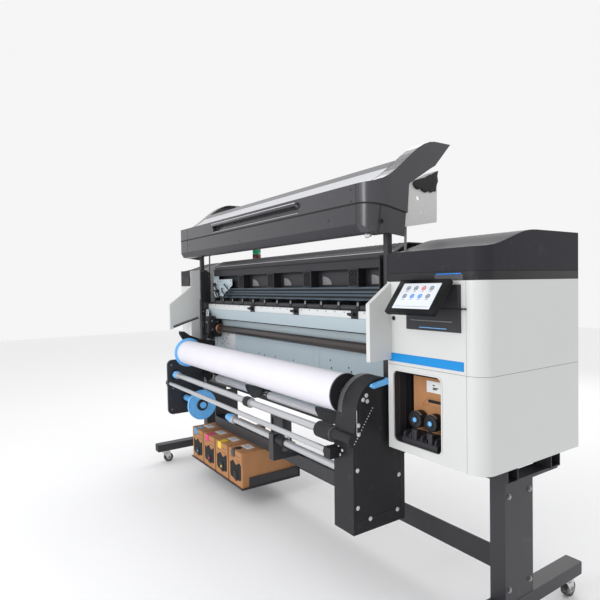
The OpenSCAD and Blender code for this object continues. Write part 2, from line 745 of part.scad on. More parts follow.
module strut_cylinders() color("#202023") {
  both_sides() on_strut() difference() {
    union() {
      rotate([0, 90, 0]) translate([0, 0, -strut_r - 1]) cylinder(r = 13, h = 2 * strut_r + 2);
      cylinder(r = strut_r, h = cylinder_len);
    }
    rotate([0, 90, 0]) translate([0, 0, -20]) cylinder(r = 6 + run_clear, h = 40);
    translate([0, 0, 16]) cylinder(r = rod_r + run_clear, h = cylinder_len);
  }
}

module strut_rods() color("#d4d6d8") {
  both_sides() on_strut() translate([0, 0, strut_len]) {
    translate([0, 0, 20 - rod_len]) cylinder(r = rod_r, h = rod_len - 20);
    rotate([0, 90, 0]) translate([0, 0, -6]) cylinder(r = 10, h = 12);
  }
}

// The hood's side outline behind its front edge: a smooth rise to the sail's tip
sail_steps = 14;
function sail_top(t) = [hood_y + t * sail_y1, hood_z + hood_h + sail_rise * smooth(min(1, t / 0.8))];
module hood_side(inset) {
  polygon(concat(
    [[hood_y + inset, seam_z + seam_gap / 2 - inset * 3], [hood_y + inset, hood_z + hood_h - inset]],
    [for (i = [1 : sail_steps]) sail_top(i / sail_steps) - [0, inset * 1.15]],
    [[hood_y + 344, hood_z + 275], [hood_y + 315, hood_z + 260], [hood_y + 195, hood_z + 189],
     [hood_y + 185, seam_z + seam_gap / 2 + 185 * seam_slope - inset * 3]]));
}

// Plan of the hood: the right front corner is round, the left one nearly square
module hood_plan(inset) {
  w = hood_w - inset;
  ra = hood_corner - inset;
  rb = hood_end_r - inset;
  translate([mid, hood_y]) {
    translate([-w, hood_corner]) square([2 * w, 600]);
    translate([-w + rb, inset]) square([2 * w - ra - rb, hood_corner]);
    translate([-w, hood_end_r]) square([rb + 1, hood_corner]);
    translate([w - ra, hood_corner]) circle(ra, $fn = 72);
    translate([-w + rb, hood_end_r]) circle(rb, $fn = 48);
  }
}

module hood_solid(inset, z0, z1) {
  intersection() {
    along_x(mid - hood_w + inset, mid + hood_w - inset) children();
    translate([0, 0, z0]) linear_extrude(z1 - z0) hood_plan(inset);
  }
}

module hood_upper() color("#58575c") {
  difference() {
    union() {
      difference() {
        hood_solid(0, hood_z, hood_z + 600) hood_side(0);
        hood_solid(hood_wall, hood_z - 100, hood_z + 600) hood_side(hood_wall);
        box([mid - hood_w + 70, hood_y + hood_d, hood_z - 1], [mid + hood_w - 70, hood_y + 600, hood_z + 600]);
      }
      grip_box(4, hood_wall - 1, grip_d + 3);
    }
    grip_box(0, -1, grip_d);
  }
}

module lower_side(inset) {
  z = seam_z - seam_gap / 2;
  polygon([[hood_y + inset, hood_z + bevel_h], [hood_y + inset, z + inset * 3],
    [hood_y + 176, z + 176 * seam_slope + inset * 3], [hood_y + 165, hood_z - 17 + inset],
    [hood_y + 22 + inset / 2, hood_z + inset]]);
}

module hood_lower() color("#605f65") {
  difference() {
    hood_solid(0, hood_z - 100, hood_z + 400) lower_side(0);
    hood_solid(hood_wall, hood_z - 100, hood_z + 400) lower_side(hood_wall);
    box([mid - hood_w + hood_wall, hood_y + pan_d, hood_z - 100],
      [mid + hood_w - hood_corner, hood_y + 300, hood_z + 300]);
    box([mid, hood_y + hood_corner, hood_z - 100], [mid + hood_w - hood_wall, hood_y + 300, hood_z + 300]);
    bar_x(mid + hood_w - 10, mid + hood_w + 1, hood_y + 48, hood_z + 36, 6);
  }
}

// The long grip recess in the hood's face, and its bar
grip_x0 = mid - 430;
grip_x1 = mid + 480;
grip_d = 22;
module grip_box(grow, ya, yb) {
  box([grip_x0 - grow, hood_y + ya, seam_z + 14 - grow],
    [grip_x1 + grow, hood_y + yb, hood_z + hood_h - 16 + grow]);
}
module hood_handle() color("#4e4e53") {
  along_x(grip_x0, grip_x1) polygon([[hood_y - 9, seam_z + 44], [hood_y - 9, seam_z + 56],
    [hood_y - 3, seam_z + 59], [hood_y + 6, seam_z + 59], [hood_y + 6, seam_z + 53], [hood_y - 3, seam_z + 50]]);
}

// Sheet metal brackets in the hood's ends, with the pivot pins
module hood_brackets() color("#d5d8da") {
  both_sides() {
    along_x(bracket_x, bracket_x + bracket_t) difference() {
      polygon([[pivot_y - 40, pivot_z - 12], [pivot_y + 57, pivot_z - 2], [pivot_y + 235, pivot_z + 25],
        [pivot_y + 240, pivot_z + 235], [pivot_y + 170, pivot_z + 215], [pivot_y + 40, pivot_z + 150],
        [pivot_y - 40, pivot_z + 70]]);
      translate([pivot_y + 126, pivot_z + 115]) circle(9);
      translate([pivot_y + 150, pivot_z + 60]) circle(4);
    }
    bar_x(post_x - 20, bracket_x, pivot_y, pivot_z, pin_r);
    box([bracket_x + bracket_t, pivot_y - 30, pivot_z], [hood_w - hood_wall, pivot_y - 5, pivot_z + 40]);
    box([bracket_x + bracket_t, pivot_y + 20, pivot_z + 90], [hood_w - hood_wall, pivot_y + 45, pivot_z + 130]);
  }
}

// Screen: a thin slab that hangs from a hinge at its top edge
module screen_bracket() color("#2b2b2f") {
  box([gap_r + 102, y_front - 6, panel_top - 170], [gap_r + 339, y_front, bracket_z1]);
  for (s = [-1, 1]) translate([screen_x + s * 60, 0, 0]) {
    difference() {
      union() {
        box([-4, y_front - 6, hinge_z - 6], [4, y_front, hinge_z + 6]);
        box([-4, hinge_y, hinge_z - 6], [4, y_front - 6, hinge_z + 6]);
      }
      bar_x(-5, 5, hinge_y, hinge_z, hinge_r);
    }
    bar_x(-4 - knuckle_w, 4 + knuckle_w, hinge_y, hinge_z, hinge_r);
  }
}

module on_screen() { translate([screen_x, hinge_y, hinge_z]) rotate([-screen_lean, 0, 0]) children(); }

module touch_screen() color("#1b1b1f") {
  on_screen() {
    along_y(-screen_t - knuckle_r, -knuckle_r)
      round_rect([-screen_w / 2, -screen_h + 6], [screen_w / 2, 6], 6);
    for (s = [-1, 1], t = [-1, 1]) translate([s * 60 + t * (4 + knuckle_w / 2 + rest_gap), 0, 0])
      difference() {
        union() {
          bar_x(-knuckle_w / 2 + 0.5, knuckle_w / 2 - 0.5, 0, 0, knuckle_r);
          box([-knuckle_w / 2 + 0.5, -knuckle_r - 1, -knuckle_r], [knuckle_w / 2 - 0.5, 0, 0]);
        }
        bar_x(-knuckle_w, knuckle_w, 0, 0, hinge_r + run_clear);
      }
  }
}

module foot_bars() color("#36363b") {
  for (s = [-1, 1]) box([s * foot_x - foot_w / 2, -total_d / 2, castor_h],
    [s * foot_x + foot_w / 2, total_d / 2, foot_z1]);
}

module stand_frame() color("#3b3b40") {
  for (s = [-1, 1]) {
    box([s * foot_x - column_w / 2 + 10, column_y - column_d / 2, foot_z1],
      [s * foot_x + column_w / 2 - 10, column_y + column_d / 2, beam_z - saddle_t]);
    box([s * foot_x - column_w / 2 + 10, beam_ys[0], beam_z - saddle_t],
      [s * foot_x + column_w / 2 - 10, beam_ys[1] + beam_h, beam_z]);
  }
  box([-foot_x + column_w / 2 - 10, column_y + 60, foot_z1 + 20],
    [foot_x - column_w / 2 + 10, column_y + 64, foot_z1 + 110]);
}

castor_spots = [for (x = [-foot_x, foot_x], y = [-total_d / 2 + castor_in, total_d / 2 - castor_in]) [x, y]];
module castor_fork(i) color("#b9bbbd") {
  translate([castor_spots[i][0], castor_spots[i][1], 0]) {
    translate([0, 0, castor_h - 12]) cylinder(r = 24, h = 12 - rest_gap);
    translate([-18, -22, castor_h - 12 - fork_plate]) cube([36, 50, fork_plate]);
    for (s = [-1, 1]) along_x(s > 0 ? 14.5 : -18, s > 0 ? 18 : -14.5) difference() {
      union() {
        polygon([[-18, castor_h - 12 - fork_plate], [28, castor_h - 12 - fork_plate],
          [trail + 11, wheel_r - 6], [trail - 11, wheel_r - 6]]);
        translate([trail, wheel_r]) circle(11);
      }
      translate([trail, wheel_r]) circle(axle_r);
    }
    bar_x(-19, 19, trail, wheel_r, axle_r);
  }
}

module castor_wheel(i) color("#2a2a2c") {
  translate([castor_spots[i][0], castor_spots[i][1], 0]) difference() {
    bar_x(-wheel_w / 2, wheel_w / 2, trail, wheel_r, wheel_r);
    bar_x(-wheel_w, wheel_w, trail, wheel_r, axle_r + run_clear);
  }
}

foot_bars();
stand_frame();
side_plates();
frame_beams();
rear_panel();
left_cabinet();
right_cabinet();
top_covers();
cheeks();
ink_bay_liner();
screen_bracket();
beam_cover();
fascia();
air_modules();
carriage_rail();
carriage_belt();
platen();
edge_holders();
media_panel();
diverter_brackets();
support_plate();
drive_housing();
front_bar();
takeup_beam();
ink_rack();
beacon();
lift_guides();
lift_posts();
strut_cylinders();
strut_rods();
hood_upper();
hood_lower();
hood_handle();
hood_brackets();
touch_screen();
power_button();
carriage();
feed_roller();
pinch_rollers();
diverter_tube();
exit_rollers();
media_roll();
media_flanges();
takeup_flange();
takeup_core();
upper_roller();
lock_lever();
bay_carton();
ink_carton(1);  // ink_carton_1
ink_carton(2);  // ink_carton_2
ink_carton(3);  // ink_carton_3
ink_carton(4);  // ink_carton_4
castor_fork(0);  // castor_fork_1
castor_fork(1);  // castor_fork_2
castor_fork(2);  // castor_fork_3
castor_fork(3);  // castor_fork_4
castor_wheel(0);  // castor_wheel_1
castor_wheel(1);  // castor_wheel_2
castor_wheel(2);  // castor_wheel_3
castor_wheel(3);  // castor_wheel_4
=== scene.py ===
# %% [markdown]
# # A large format plotter with its hood raised
# The machine is a roll-to-roll inkjet printer: a white cabinet at each end, a print zone between
# them, a roll of media below, a long hood on lift posts and a stand on castors. The measured model
# is loaded first and is never changed. Each cell after that gives one piece or finish its look.

# %% Load the measured model
import bpy, bmesh, math
from mathutils import Vector, Matrix


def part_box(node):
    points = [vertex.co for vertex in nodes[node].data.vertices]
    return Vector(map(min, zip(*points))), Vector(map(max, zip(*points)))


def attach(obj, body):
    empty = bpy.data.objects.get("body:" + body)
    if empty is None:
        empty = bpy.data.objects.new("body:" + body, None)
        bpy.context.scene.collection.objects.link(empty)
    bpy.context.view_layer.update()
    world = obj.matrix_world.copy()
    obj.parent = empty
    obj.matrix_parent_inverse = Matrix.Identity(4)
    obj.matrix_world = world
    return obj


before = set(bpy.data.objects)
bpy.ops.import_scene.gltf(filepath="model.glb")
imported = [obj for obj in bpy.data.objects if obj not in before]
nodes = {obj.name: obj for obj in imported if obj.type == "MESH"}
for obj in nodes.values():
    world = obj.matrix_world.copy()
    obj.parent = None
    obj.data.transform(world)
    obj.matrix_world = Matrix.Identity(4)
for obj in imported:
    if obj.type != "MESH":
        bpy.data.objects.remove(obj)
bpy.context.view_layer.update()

# %% [markdown]
# ## Places to build from
# A node's box gives its lowest and highest corner in metres. Every later piece takes its place
# from these boxes, so it sits where the measured part is.

# %% Corners of the main nodes
class Box:
    """The lowest and highest corner of a node."""
    def __init__(self, node):
        lo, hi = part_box(node)
        self.x0, self.y0, self.z0 = lo
        self.x1, self.y1, self.z1 = hi

hood_up, hood_low, grip = Box("hood_upper"), Box("hood_lower"), Box("hood_handle")
left_cab, right_cab, covers = Box("left_cabinet"), Box("right_cabinet"), Box("top_covers")
platen, rail, air = Box("platen"), Box("carriage_rail"), Box("air_modules")
housing, plate, roll = Box("drive_housing"), Box("support_plate"), Box("media_roll")
front = left_cab.y0          # the plane of the cabinets' fronts
gap_l, gap_r = left_cab.x1, right_cab.x0
print("gap between the cabinets", round(gap_r - gap_l, 3), "m")

# %% Short ways to write points
def mm(*numbers, each=2):
    """Points in metres from plain millimetres: two numbers to a point, or as many as each says."""
    metres = [n / 1000 for n in numbers]
    return [tuple(metres[k:k + each]) for k in range(0, len(metres), each)]

def spot(axis, along, u, v):
    """A point, from its distance along an axis and its two other coordinates."""
    return {"X": (along, u, v), "Y": (u, along, v), "Z": (u, v, along)}[axis]

def around(u, v, radius, angle):
    """The two coordinates of a point on a circle."""
    return u + radius * math.cos(angle), v + radius * math.sin(angle)

def full_turn(count):
    return [2 * math.pi * k / count for k in range(count)]

def quarter_turn(steps):
    return [math.pi / 2 * k / steps for k in range(steps + 1)]

def facing(way, profile):
    """A turned profile that points along its axis, or against it where way is -1."""
    return [(along * way, radius) for along, radius in profile]

# %% [markdown]
# ## Camera
# The machine is seen from its right, a little to the front and about chest high, with a fairly
# wide lens. The camera's three axes are written down as directions, so the view is exact.

# %% Camera
yaw, pitch, roll_angle = math.radians(56.06), math.radians(-1.64), math.radians(-0.98)
ahead = Vector((-math.sin(yaw) * math.cos(pitch), math.cos(yaw) * math.cos(pitch), math.sin(pitch)))
level = Vector((math.cos(yaw), math.sin(yaw), 0))
above = level.cross(ahead)
side = math.cos(roll_angle) * level + math.sin(roll_angle) * above
up = -math.sin(roll_angle) * level + math.cos(roll_angle) * above
stand_x, stand_y, stand_z = 2.2915, -1.571, 1.226
lens = bpy.data.cameras.new("camera")
lens.lens, lens.sensor_width, lens.clip_end = 30.8, 36, 50
camera = bpy.data.objects.new("camera", lens)
bpy.context.scene.collection.objects.link(camera)
camera.matrix_world = Matrix((
    (side.x, up.x, -ahead.x, stand_x), (side.y, up.y, -ahead.y, stand_y),
    (side.z, up.z, -ahead.z, stand_z), (0, 0, 0, 1)))
bpy.context.scene.camera = camera

# %% [markdown]
# ## Helpers for modelling by hand
# Each helper starts a piece from a primitive and shapes it with operators. Everything is
# deselected first, because an operator acts on all that is selected. A finished piece keeps its
# place in its mesh, with its object at the origin.

# %% Select and finish
def deselect():
    if bpy.context.object and bpy.context.object.mode != "OBJECT":
        bpy.ops.object.mode_set(mode="OBJECT")
    bpy.ops.object.select_all(action="DESELECT")

def soften(piece, width, steps=2, angle=32):
    """Rounds the sharp edges by width, so they catch the light."""
    bevel = piece.modifiers.new("soft edges", "BEVEL")
    bevel.width, bevel.segments, bevel.limit_method = width, steps, "ANGLE"
    bevel.angle_limit = math.radians(angle)
    bevel.harden_normals = False
    bpy.context.view_layer.objects.active = piece
    bpy.ops.object.modifier_apply(modifier=bevel.name)
    return piece

def hand_in(piece, material, body="frame"):
    """Gives a finished piece its material and the body it rides on."""
    deselect()
    piece.select_set(True)
    bpy.context.view_layer.objects.active = piece
    bpy.ops.object.transform_apply(location=True, rotation=True, scale=True)
    bpy.ops.object.shade_smooth_by_angle(angle=math.radians(35))
    piece.data.materials.clear()
    piece.data.materials.append(material)
    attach(piece, body)
    return piece

# %% Blocks, rods and bars
def block(name, lo, hi, soft=0.0008, steps=2):
    """A box between two corners, with softened edges."""
    deselect()
    lo, hi = Vector(lo), Vector(hi)
    bpy.ops.mesh.primitive_cube_add(size=1, location=(lo + hi) / 2)
    piece = bpy.context.object
    piece.name = name
    piece.scale = hi - lo
    bpy.ops.object.transform_apply(location=True, rotation=True, scale=True)
    return soften(piece, soft, steps) if soft else piece

def rod(name, a, b, radius, sides=40, soft=0.0006, r_end=None):
    """A round rod from point a to point b, or a cone where r_end is given."""
    deselect()
    a, b = Vector(a), Vector(b)
    bpy.ops.mesh.primitive_cone_add(vertices=sides, radius1=radius,
        radius2=radius if r_end is None else r_end, depth=(b - a).length, location=(a + b) / 2,
        rotation=(b - a).to_track_quat("Z", "Y").to_euler())
    piece = bpy.context.object
    piece.name = name
    bpy.ops.object.transform_apply(location=True, rotation=True, scale=True)
    return soften(piece, soft) if soft else piece

def bar(name, outline, start, end, axis="X", soft=0.0):
    """A flat outline, extruded from start to end along an axis. The outline gives the two other
    coordinates of each corner, in X, Y, Z order."""
    deselect()
    bpy.ops.mesh.primitive_circle_add(vertices=len(outline), fill_type="NGON")
    piece = bpy.context.object
    piece.name = name
    for vertex, p in zip(piece.data.vertices, outline):
        vertex.co = spot(axis, start, *p)
    bpy.ops.object.mode_set(mode="EDIT")
    bpy.ops.mesh.select_all(action="SELECT")
    bpy.ops.mesh.extrude_region_move(TRANSFORM_OT_translate={"value": spot(axis, end - start, 0, 0)})
    bpy.ops.mesh.select_all(action="SELECT")
    bpy.ops.mesh.normals_make_consistent(inside=False)
    bpy.ops.object.mode_set(mode="OBJECT")
    return soften(piece, soft) if soft else piece

# %% Rings, copies and joining
def turned(name, profile, centre, axis="X", steps=48):
    """A turned piece: the profile's (distance along the axis, radius) corners, spun once round."""
    deselect()
    bpy.ops.mesh.primitive_circle_add(vertices=len(profile), fill_type="NOTHING")
    piece = bpy.context.object
    piece.name = name
    for vertex, (along, radius) in zip(piece.data.vertices, profile):
        vertex.co = (radius, 0, along) if axis == "Z" else spot(axis, along, 0, radius)
    bpy.ops.object.mode_set(mode="EDIT")
    bpy.ops.mesh.select_all(action="SELECT")
    bpy.ops.mesh.spin(steps=steps, angle=2 * math.pi, center=(0, 0, 0), axis=spot(axis, 1, 0, 0))
    bpy.ops.mesh.select_all(action="SELECT")
    bpy.ops.mesh.remove_doubles(threshold=1e-6)
    bpy.ops.mesh.normals_make_consistent(inside=False)
    bpy.ops.object.mode_set(mode="OBJECT")
    piece.location = centre
    bpy.ops.object.transform_apply(location=True, rotation=True, scale=True)
    return piece

def rods_round(axis, centre, circle, start, end, radius, angles, sides=8, soft=0):
    """Rods from start to end along an axis, one at each angle round a circle."""
    places = [around(*centre, circle, a) for a in angles]
    return [rod("rib", spot(axis, start, *p), spot(axis, end, *p), radius, sides, soft) for p in places]

def copy_at(piece, step, name):
    """A copy with its own mesh, moved by step."""
    twin = piece.copy()
    twin.data = piece.data.copy()
    twin.name = name
    bpy.context.scene.collection.objects.link(twin)
    twin.data.transform(Matrix.Translation(Vector(step)))
    return twin

def join(name, pieces):
    """Several shapes of one finish become one piece."""
    deselect()
    for p in pieces:
        p.select_set(True)
    bpy.context.view_layer.objects.active = pieces[0]
    if len(pieces) > 1:
        bpy.ops.object.join()
    joined = bpy.context.view_layer.objects.active
    joined.name = name
    return joined

def sink(piece, toward, inset, depth):
    """Insets the faces that look toward a direction and moves their middle along it by depth."""
    deselect()
    piece.select_set(True)
    bpy.context.view_layer.objects.active = piece
    bpy.ops.object.mode_set(mode="EDIT")
    bpy.ops.mesh.select_mode(type="FACE")
    mesh = bmesh.from_edit_mesh(piece.data)
    toward = Vector(toward)
    best = max(f.calc_area() for f in mesh.faces if f.normal.dot(toward) > 0.98)
    for f in mesh.faces:
        f.select = f.normal.dot(toward) > 0.98 and f.calc_area() > 0.5 * best
    bmesh.update_edit_mesh(piece.data)
    bpy.ops.mesh.inset(thickness=inset, depth=0)
    if depth:
        bpy.ops.mesh.extrude_region_move(TRANSFORM_OT_translate={"value": tuple(toward * depth)})
    bpy.ops.object.mode_set(mode="OBJECT")
    return piece

# %% [markdown]
# ## Finishes
# Painted steel, moulded plastic and metal all have a fine surface that is not quite even. Two
# effects are shared, so each is a node group: an even grain with slow changes of tone, and long
# brushed lines. A material places a group with its own values, and keeps its own shader.

# %% Colours
def tone(r, g, b):
    """A colour given as 0 to 255 screen values, made linear for the shader."""
    return tuple((c / 255 / 12.92 if c <= 10 else ((c / 255 + 0.055) / 1.055) ** 2.4)
                 for c in (r, g, b)) + (1.0,)

# %% Node group: grain and slow changes of tone
def new_group(name, inputs, outputs):
    group = bpy.data.node_groups.new(name, "ShaderNodeTree")
    for label, kind, value in inputs:
        socket = group.interface.new_socket(name=label, in_out="INPUT", socket_type=kind)
        socket.default_value = value
    for label, kind in outputs:
        group.interface.new_socket(name=label, in_out="OUTPUT", socket_type=kind)
    return group, group.nodes.new("NodeGroupInput"), group.nodes.new("NodeGroupOutput")

def node(tree, kind, inputs, **settings):
    """A new shader node. Each input is linked to an output, or set to a value."""
    made = tree.nodes.new("ShaderNode" + kind)
    for name, value in settings.items():
        setattr(made, name, value)
    for label, value in inputs.items():
        if isinstance(value, bpy.types.NodeSocket):
            tree.links.new(value, made.inputs[label])
        else:
            made.inputs[label].default_value = value
    return made

def give(tree, end, colour, roughness, height):
    """Links what a group gives out."""
    for label, output in (("Colour", colour), ("Roughness", roughness), ("Height", height)):
        tree.links.new(output, end.inputs[label])

FLOAT, COLOUR = "NodeSocketFloat", "NodeSocketColor"
grain, g_in, g_out = new_group("Grain and tone",
    [("Colour", COLOUR, (0.5, 0.5, 0.5, 1)), ("Second colour", COLOUR, (0.4, 0.4, 0.4, 1)),
     ("Change", FLOAT, 0.3), ("Roughness", FLOAT, 0.5), ("Grain scale", FLOAT, 900.0),
     ("Cloud scale", FLOAT, 3.0), ("Scuffs", FLOAT, 0.0)],
    [("Colour", COLOUR), ("Roughness", FLOAT), ("Height", FLOAT)])
given, place = g_in.outputs, node(grain, "TexCoord", {}).outputs["Object"]
fine = node(grain, "TexNoise", {"Vector": place, "Scale": given["Grain scale"], "Detail": 3})
cloud = node(grain, "TexNoise", {"Vector": place, "Scale": given["Cloud scale"], "Detail": 4})
streak = node(grain, "TexNoise", {"Vector": place, "Scale": 26, "Detail": 8})
share = node(grain, "Math", {0: cloud.outputs["Fac"], 1: given["Change"]}, operation="MULTIPLY")
blend = node(grain, "Mix", {"Factor": share.outputs[0], "A": given["Colour"], "B": given["Second colour"]},
             data_type="RGBA")
worn = node(grain, "MapRange", {"Value": streak.outputs["Fac"], "From Min": 0.62, "From Max": 0.78})
worn_part = node(grain, "Math", {0: worn.outputs["Result"], 1: given["Scuffs"]}, operation="MULTIPLY")
rub = node(grain, "Mix", {"Factor": worn_part.outputs[0], "A": blend.outputs["Result"],
                          "B": (0.42, 0.42, 0.42, 1)}, data_type="RGBA")
uneven = node(grain, "Math", {0: cloud.outputs["Fac"], 1: 0.16, 2: given["Roughness"]},
              operation="MULTIPLY_ADD")
less = node(grain, "Math", {0: uneven.outputs[0], 1: 0.08}, operation="SUBTRACT")
give(grain, g_out, rub.outputs["Result"], less.outputs[0], fine.outputs["Fac"])

# %% Node group: brushed lines
brushed, b_in, b_out = new_group("Brushed lines",
    [("Colour", COLOUR, (0.6, 0.6, 0.6, 1)), ("Darker", COLOUR, (0.4, 0.4, 0.4, 1)),
     ("Roughness", FLOAT, 0.3), ("Along X", FLOAT, 4.0), ("Across", FLOAT, 500.0)],
    [("Colour", COLOUR), ("Roughness", FLOAT), ("Height", FLOAT)])
given, place = b_in.outputs, node(brushed, "TexCoord", {}).outputs["Object"]
sizes = node(brushed, "CombineXYZ", {"X": given["Along X"], "Y": given["Across"], "Z": given["Across"]})
stretch = node(brushed, "Mapping", {"Vector": place, "Scale": sizes.outputs[0]})
lines = node(brushed, "TexNoise", {"Vector": stretch.outputs[0], "Scale": 1, "Detail": 5})
ink = node(brushed, "Mix", {"Factor": lines.outputs["Fac"], "A": given["Colour"], "B": given["Darker"]},
           data_type="RGBA")
slide = node(brushed, "Math", {0: lines.outputs["Fac"], 1: 0.2, 2: given["Roughness"]},
             operation="MULTIPLY_ADD")
give(brushed, b_out, ink.outputs["Result"], slide.outputs[0], lines.outputs["Fac"])

# %% Materials from the groups
def material(name, group, values, metal=0.0, coat=0.0, bump=0.00004, specular=0.5):
    """A material with one shared effect; what is the same all over is set on the shader itself."""
    m = bpy.data.materials.new(name)
    m.use_nodes = True
    tree = m.node_tree
    shader = tree.nodes["Principled BSDF"]
    effect = tree.nodes.new("ShaderNodeGroup")
    effect.node_tree = group
    for label, value in values.items():
        effect.inputs[label].default_value = value
    relief = tree.nodes.new("ShaderNodeBump")
    relief.inputs["Distance"].default_value = bump
    relief.inputs["Strength"].default_value = 0.6
    tree.links.new(effect.outputs["Colour"], shader.inputs["Base Color"])
    tree.links.new(effect.outputs["Roughness"], shader.inputs["Roughness"])
    tree.links.new(effect.outputs["Height"], relief.inputs["Height"])
    tree.links.new(relief.outputs["Normal"], shader.inputs["Normal"])
    shader.inputs["Metallic"].default_value = metal
    shader.inputs["Coat Weight"].default_value = coat
    shader.inputs["Coat Roughness"].default_value = 0.12
    shader.inputs["Specular IOR Level"].default_value = specular
    return m

def grained(name, colour, second, rough, change=0.5, scale=900, cloud=3.0, scuffs=0.0, **extra):
    return material(name, grain, {"Colour": tone(*colour), "Second colour": tone(*second),
        "Roughness": rough, "Change": change, "Grain scale": scale, "Cloud scale": cloud,
        "Scuffs": scuffs}, **extra)

def lined(name, colour, darker, rough, along=4, across=500, metal=1.0, **extra):
    return material(name, brushed, {"Colour": tone(*colour), "Darker": tone(*darker),
        "Roughness": rough, "Along X": along, "Across": across}, metal=metal, **extra)

white_paint = grained("white powder paint", (208, 209, 208), (198, 200, 199), 0.38, scale=1400,
                      scuffs=0.05, coat=0.08, specular=0.4)
hood_satin = grained("charcoal hood", (61, 60, 65), (51, 50, 55), 0.23, scale=1800, scuffs=0.03,
                     coat=0.2, specular=0.45)
# The lower shell has the hood's own paint made darker: painted shade, as the lower face gets less light than
# the upper one.
hood_shaded_satin = grained("hood shell with painted shade", (52, 51, 56), (44, 43, 48), 0.23, scale=1800, scuffs=0.03,
                         coat=0.2, specular=0.45)
cover_satin = grained("dark cover", (50, 49, 54), (43, 42, 47), 0.5, scale=1500, scuffs=0.03,
                      specular=0.1)
cover_grey = grained("grey ribbed cover", (88, 87, 91), (72, 71, 76), 0.55, scale=1300, specular=0.3)
fascia_dark = grained("dark fascia", (52, 51, 56), (42, 42, 46), 0.5, specular=0.35)
silver_trim = grained("silver trim", (214, 215, 220), (196, 197, 203), 0.34, metal=0.3, bump=0.00001)
grey_trim = grained("grey trim", (128, 127, 130), (104, 103, 106), 0.45)
black_paint = grained("black stand paint", (46, 46, 51), (36, 36, 40), 0.42, scale=1100, scuffs=0.04)
black_mould = grained("black moulding", (31, 31, 34), (20, 20, 23), 0.5, scale=700, scuffs=0.06,
                      specular=0.35)
deep_black = grained("black recess", (14, 14, 15), (8, 8, 9), 0.75, scale=300)
sheet_blue = grained("blue grey sheet", (188, 202, 209), (168, 184, 193), 0.36, scale=1000,
                     scuffs=0.1, metal=0.15)
zinc = lined("zinc plated sheet", (222, 222, 220), (196, 197, 197), 0.34, along=30, across=240, metal=0.45)
steel = lined("ground steel", (176, 177, 180), (118, 119, 122), 0.22, along=3, across=700)
bright_tube = lined("anodised tube", (222, 223, 225), (176, 178, 181), 0.26, along=2, across=420, metal=0.8)
rail_blue = lined("anodised rail", (98, 112, 124), (62, 76, 88), 0.32, along=2, across=300, metal=0.7)
platen_light = lined("platen plate", (236, 238, 239), (206, 209, 212), 0.3, along=2, across=260, metal=0.45)
roller_brown = grained("dark coated tube", (52, 44, 42), (34, 29, 28), 0.34, scale=600, coat=0.2)
roller_rubber = grained("roller rubber", (58, 58, 61), (40, 40, 43), 0.62, scale=500)
tyre_rubber = grained("castor tread", (44, 44, 46), (66, 65, 63), 0.7, scale=320, scuffs=0.35)
blue_mould = grained("blue moulding", (116, 192, 250), (92, 170, 238), 0.34, scale=900, coat=0.15)
blue_strip = grained("blue accent", (10, 140, 212), (8, 120, 192), 0.3, coat=0.12, specular=0.3)
paper_white = grained("white media", (226, 224, 232), (214, 212, 222), 0.6, scale=1800, cloud=8)
board = grained("brown carton board", (184, 132, 88), (146, 102, 66), 0.82, scale=260, cloud=18,
                scuffs=0.1, bump=0.0001)
beacon_green = grained("green lens", (34, 190, 132), (18, 150, 100), 0.18, coat=0.6)
beacon_red = grained("dark red lens", (120, 34, 34), (84, 22, 24), 0.25, coat=0.5)
copper = lined("copper bush", (196, 150, 112), (140, 96, 66), 0.32, along=60, across=200)
print("materials", len(bpy.data.materials))

# %% [markdown]
# ## Lit surfaces and inks
# The screen, the light bar and the coloured cartons are plain colours with their own light or
# print. A lit surface gives off its colour, and still has a glossy face that shows the studio.

# %% Light and ink materials
def lit(name, colour, strength, rough=0.15):
    m = grained(name, colour, colour, rough, change=0.05, scale=1200, specular=0.2)
    shader = m.node_tree.nodes["Principled BSDF"]
    shader.inputs["Emission Color"].default_value = tone(*colour)
    shader.inputs["Emission Strength"].default_value = strength
    return m

screen_black = grained("black glass", (12, 12, 15), (8, 9, 11), 0.22, scale=2000, bump=0.00001, specular=0.16)
screen_lit = lit("lit screen", (208, 213, 220), 0.12)
screen_blue = lit("screen blue", (20, 120, 214), 0.2)
screen_grey = lit("screen grey", (104, 110, 120), 0.06)
screen_red = lit("screen red", (190, 84, 78), 0.12)
light_bar = lit("light bar", (40, 126, 214), 0.45)
ink_tones = {n: grained("print " + n, c, tuple(int(v * 0.9) for v in c), 0.4, scale=700, coat=0.15)
    for n, c in {"cyan": (20, 160, 214), "magenta": (226, 20, 118), "yellow": (240, 206, 30),
                 "black": (34, 32, 34), "label": (236, 237, 238)}.items()}

# %% [markdown]
# ## Finish the measured nodes
# Most measured nodes have the right shape, so they stay and only get a better material. The list
# below names the finish of each one, from the stand up to the hood.

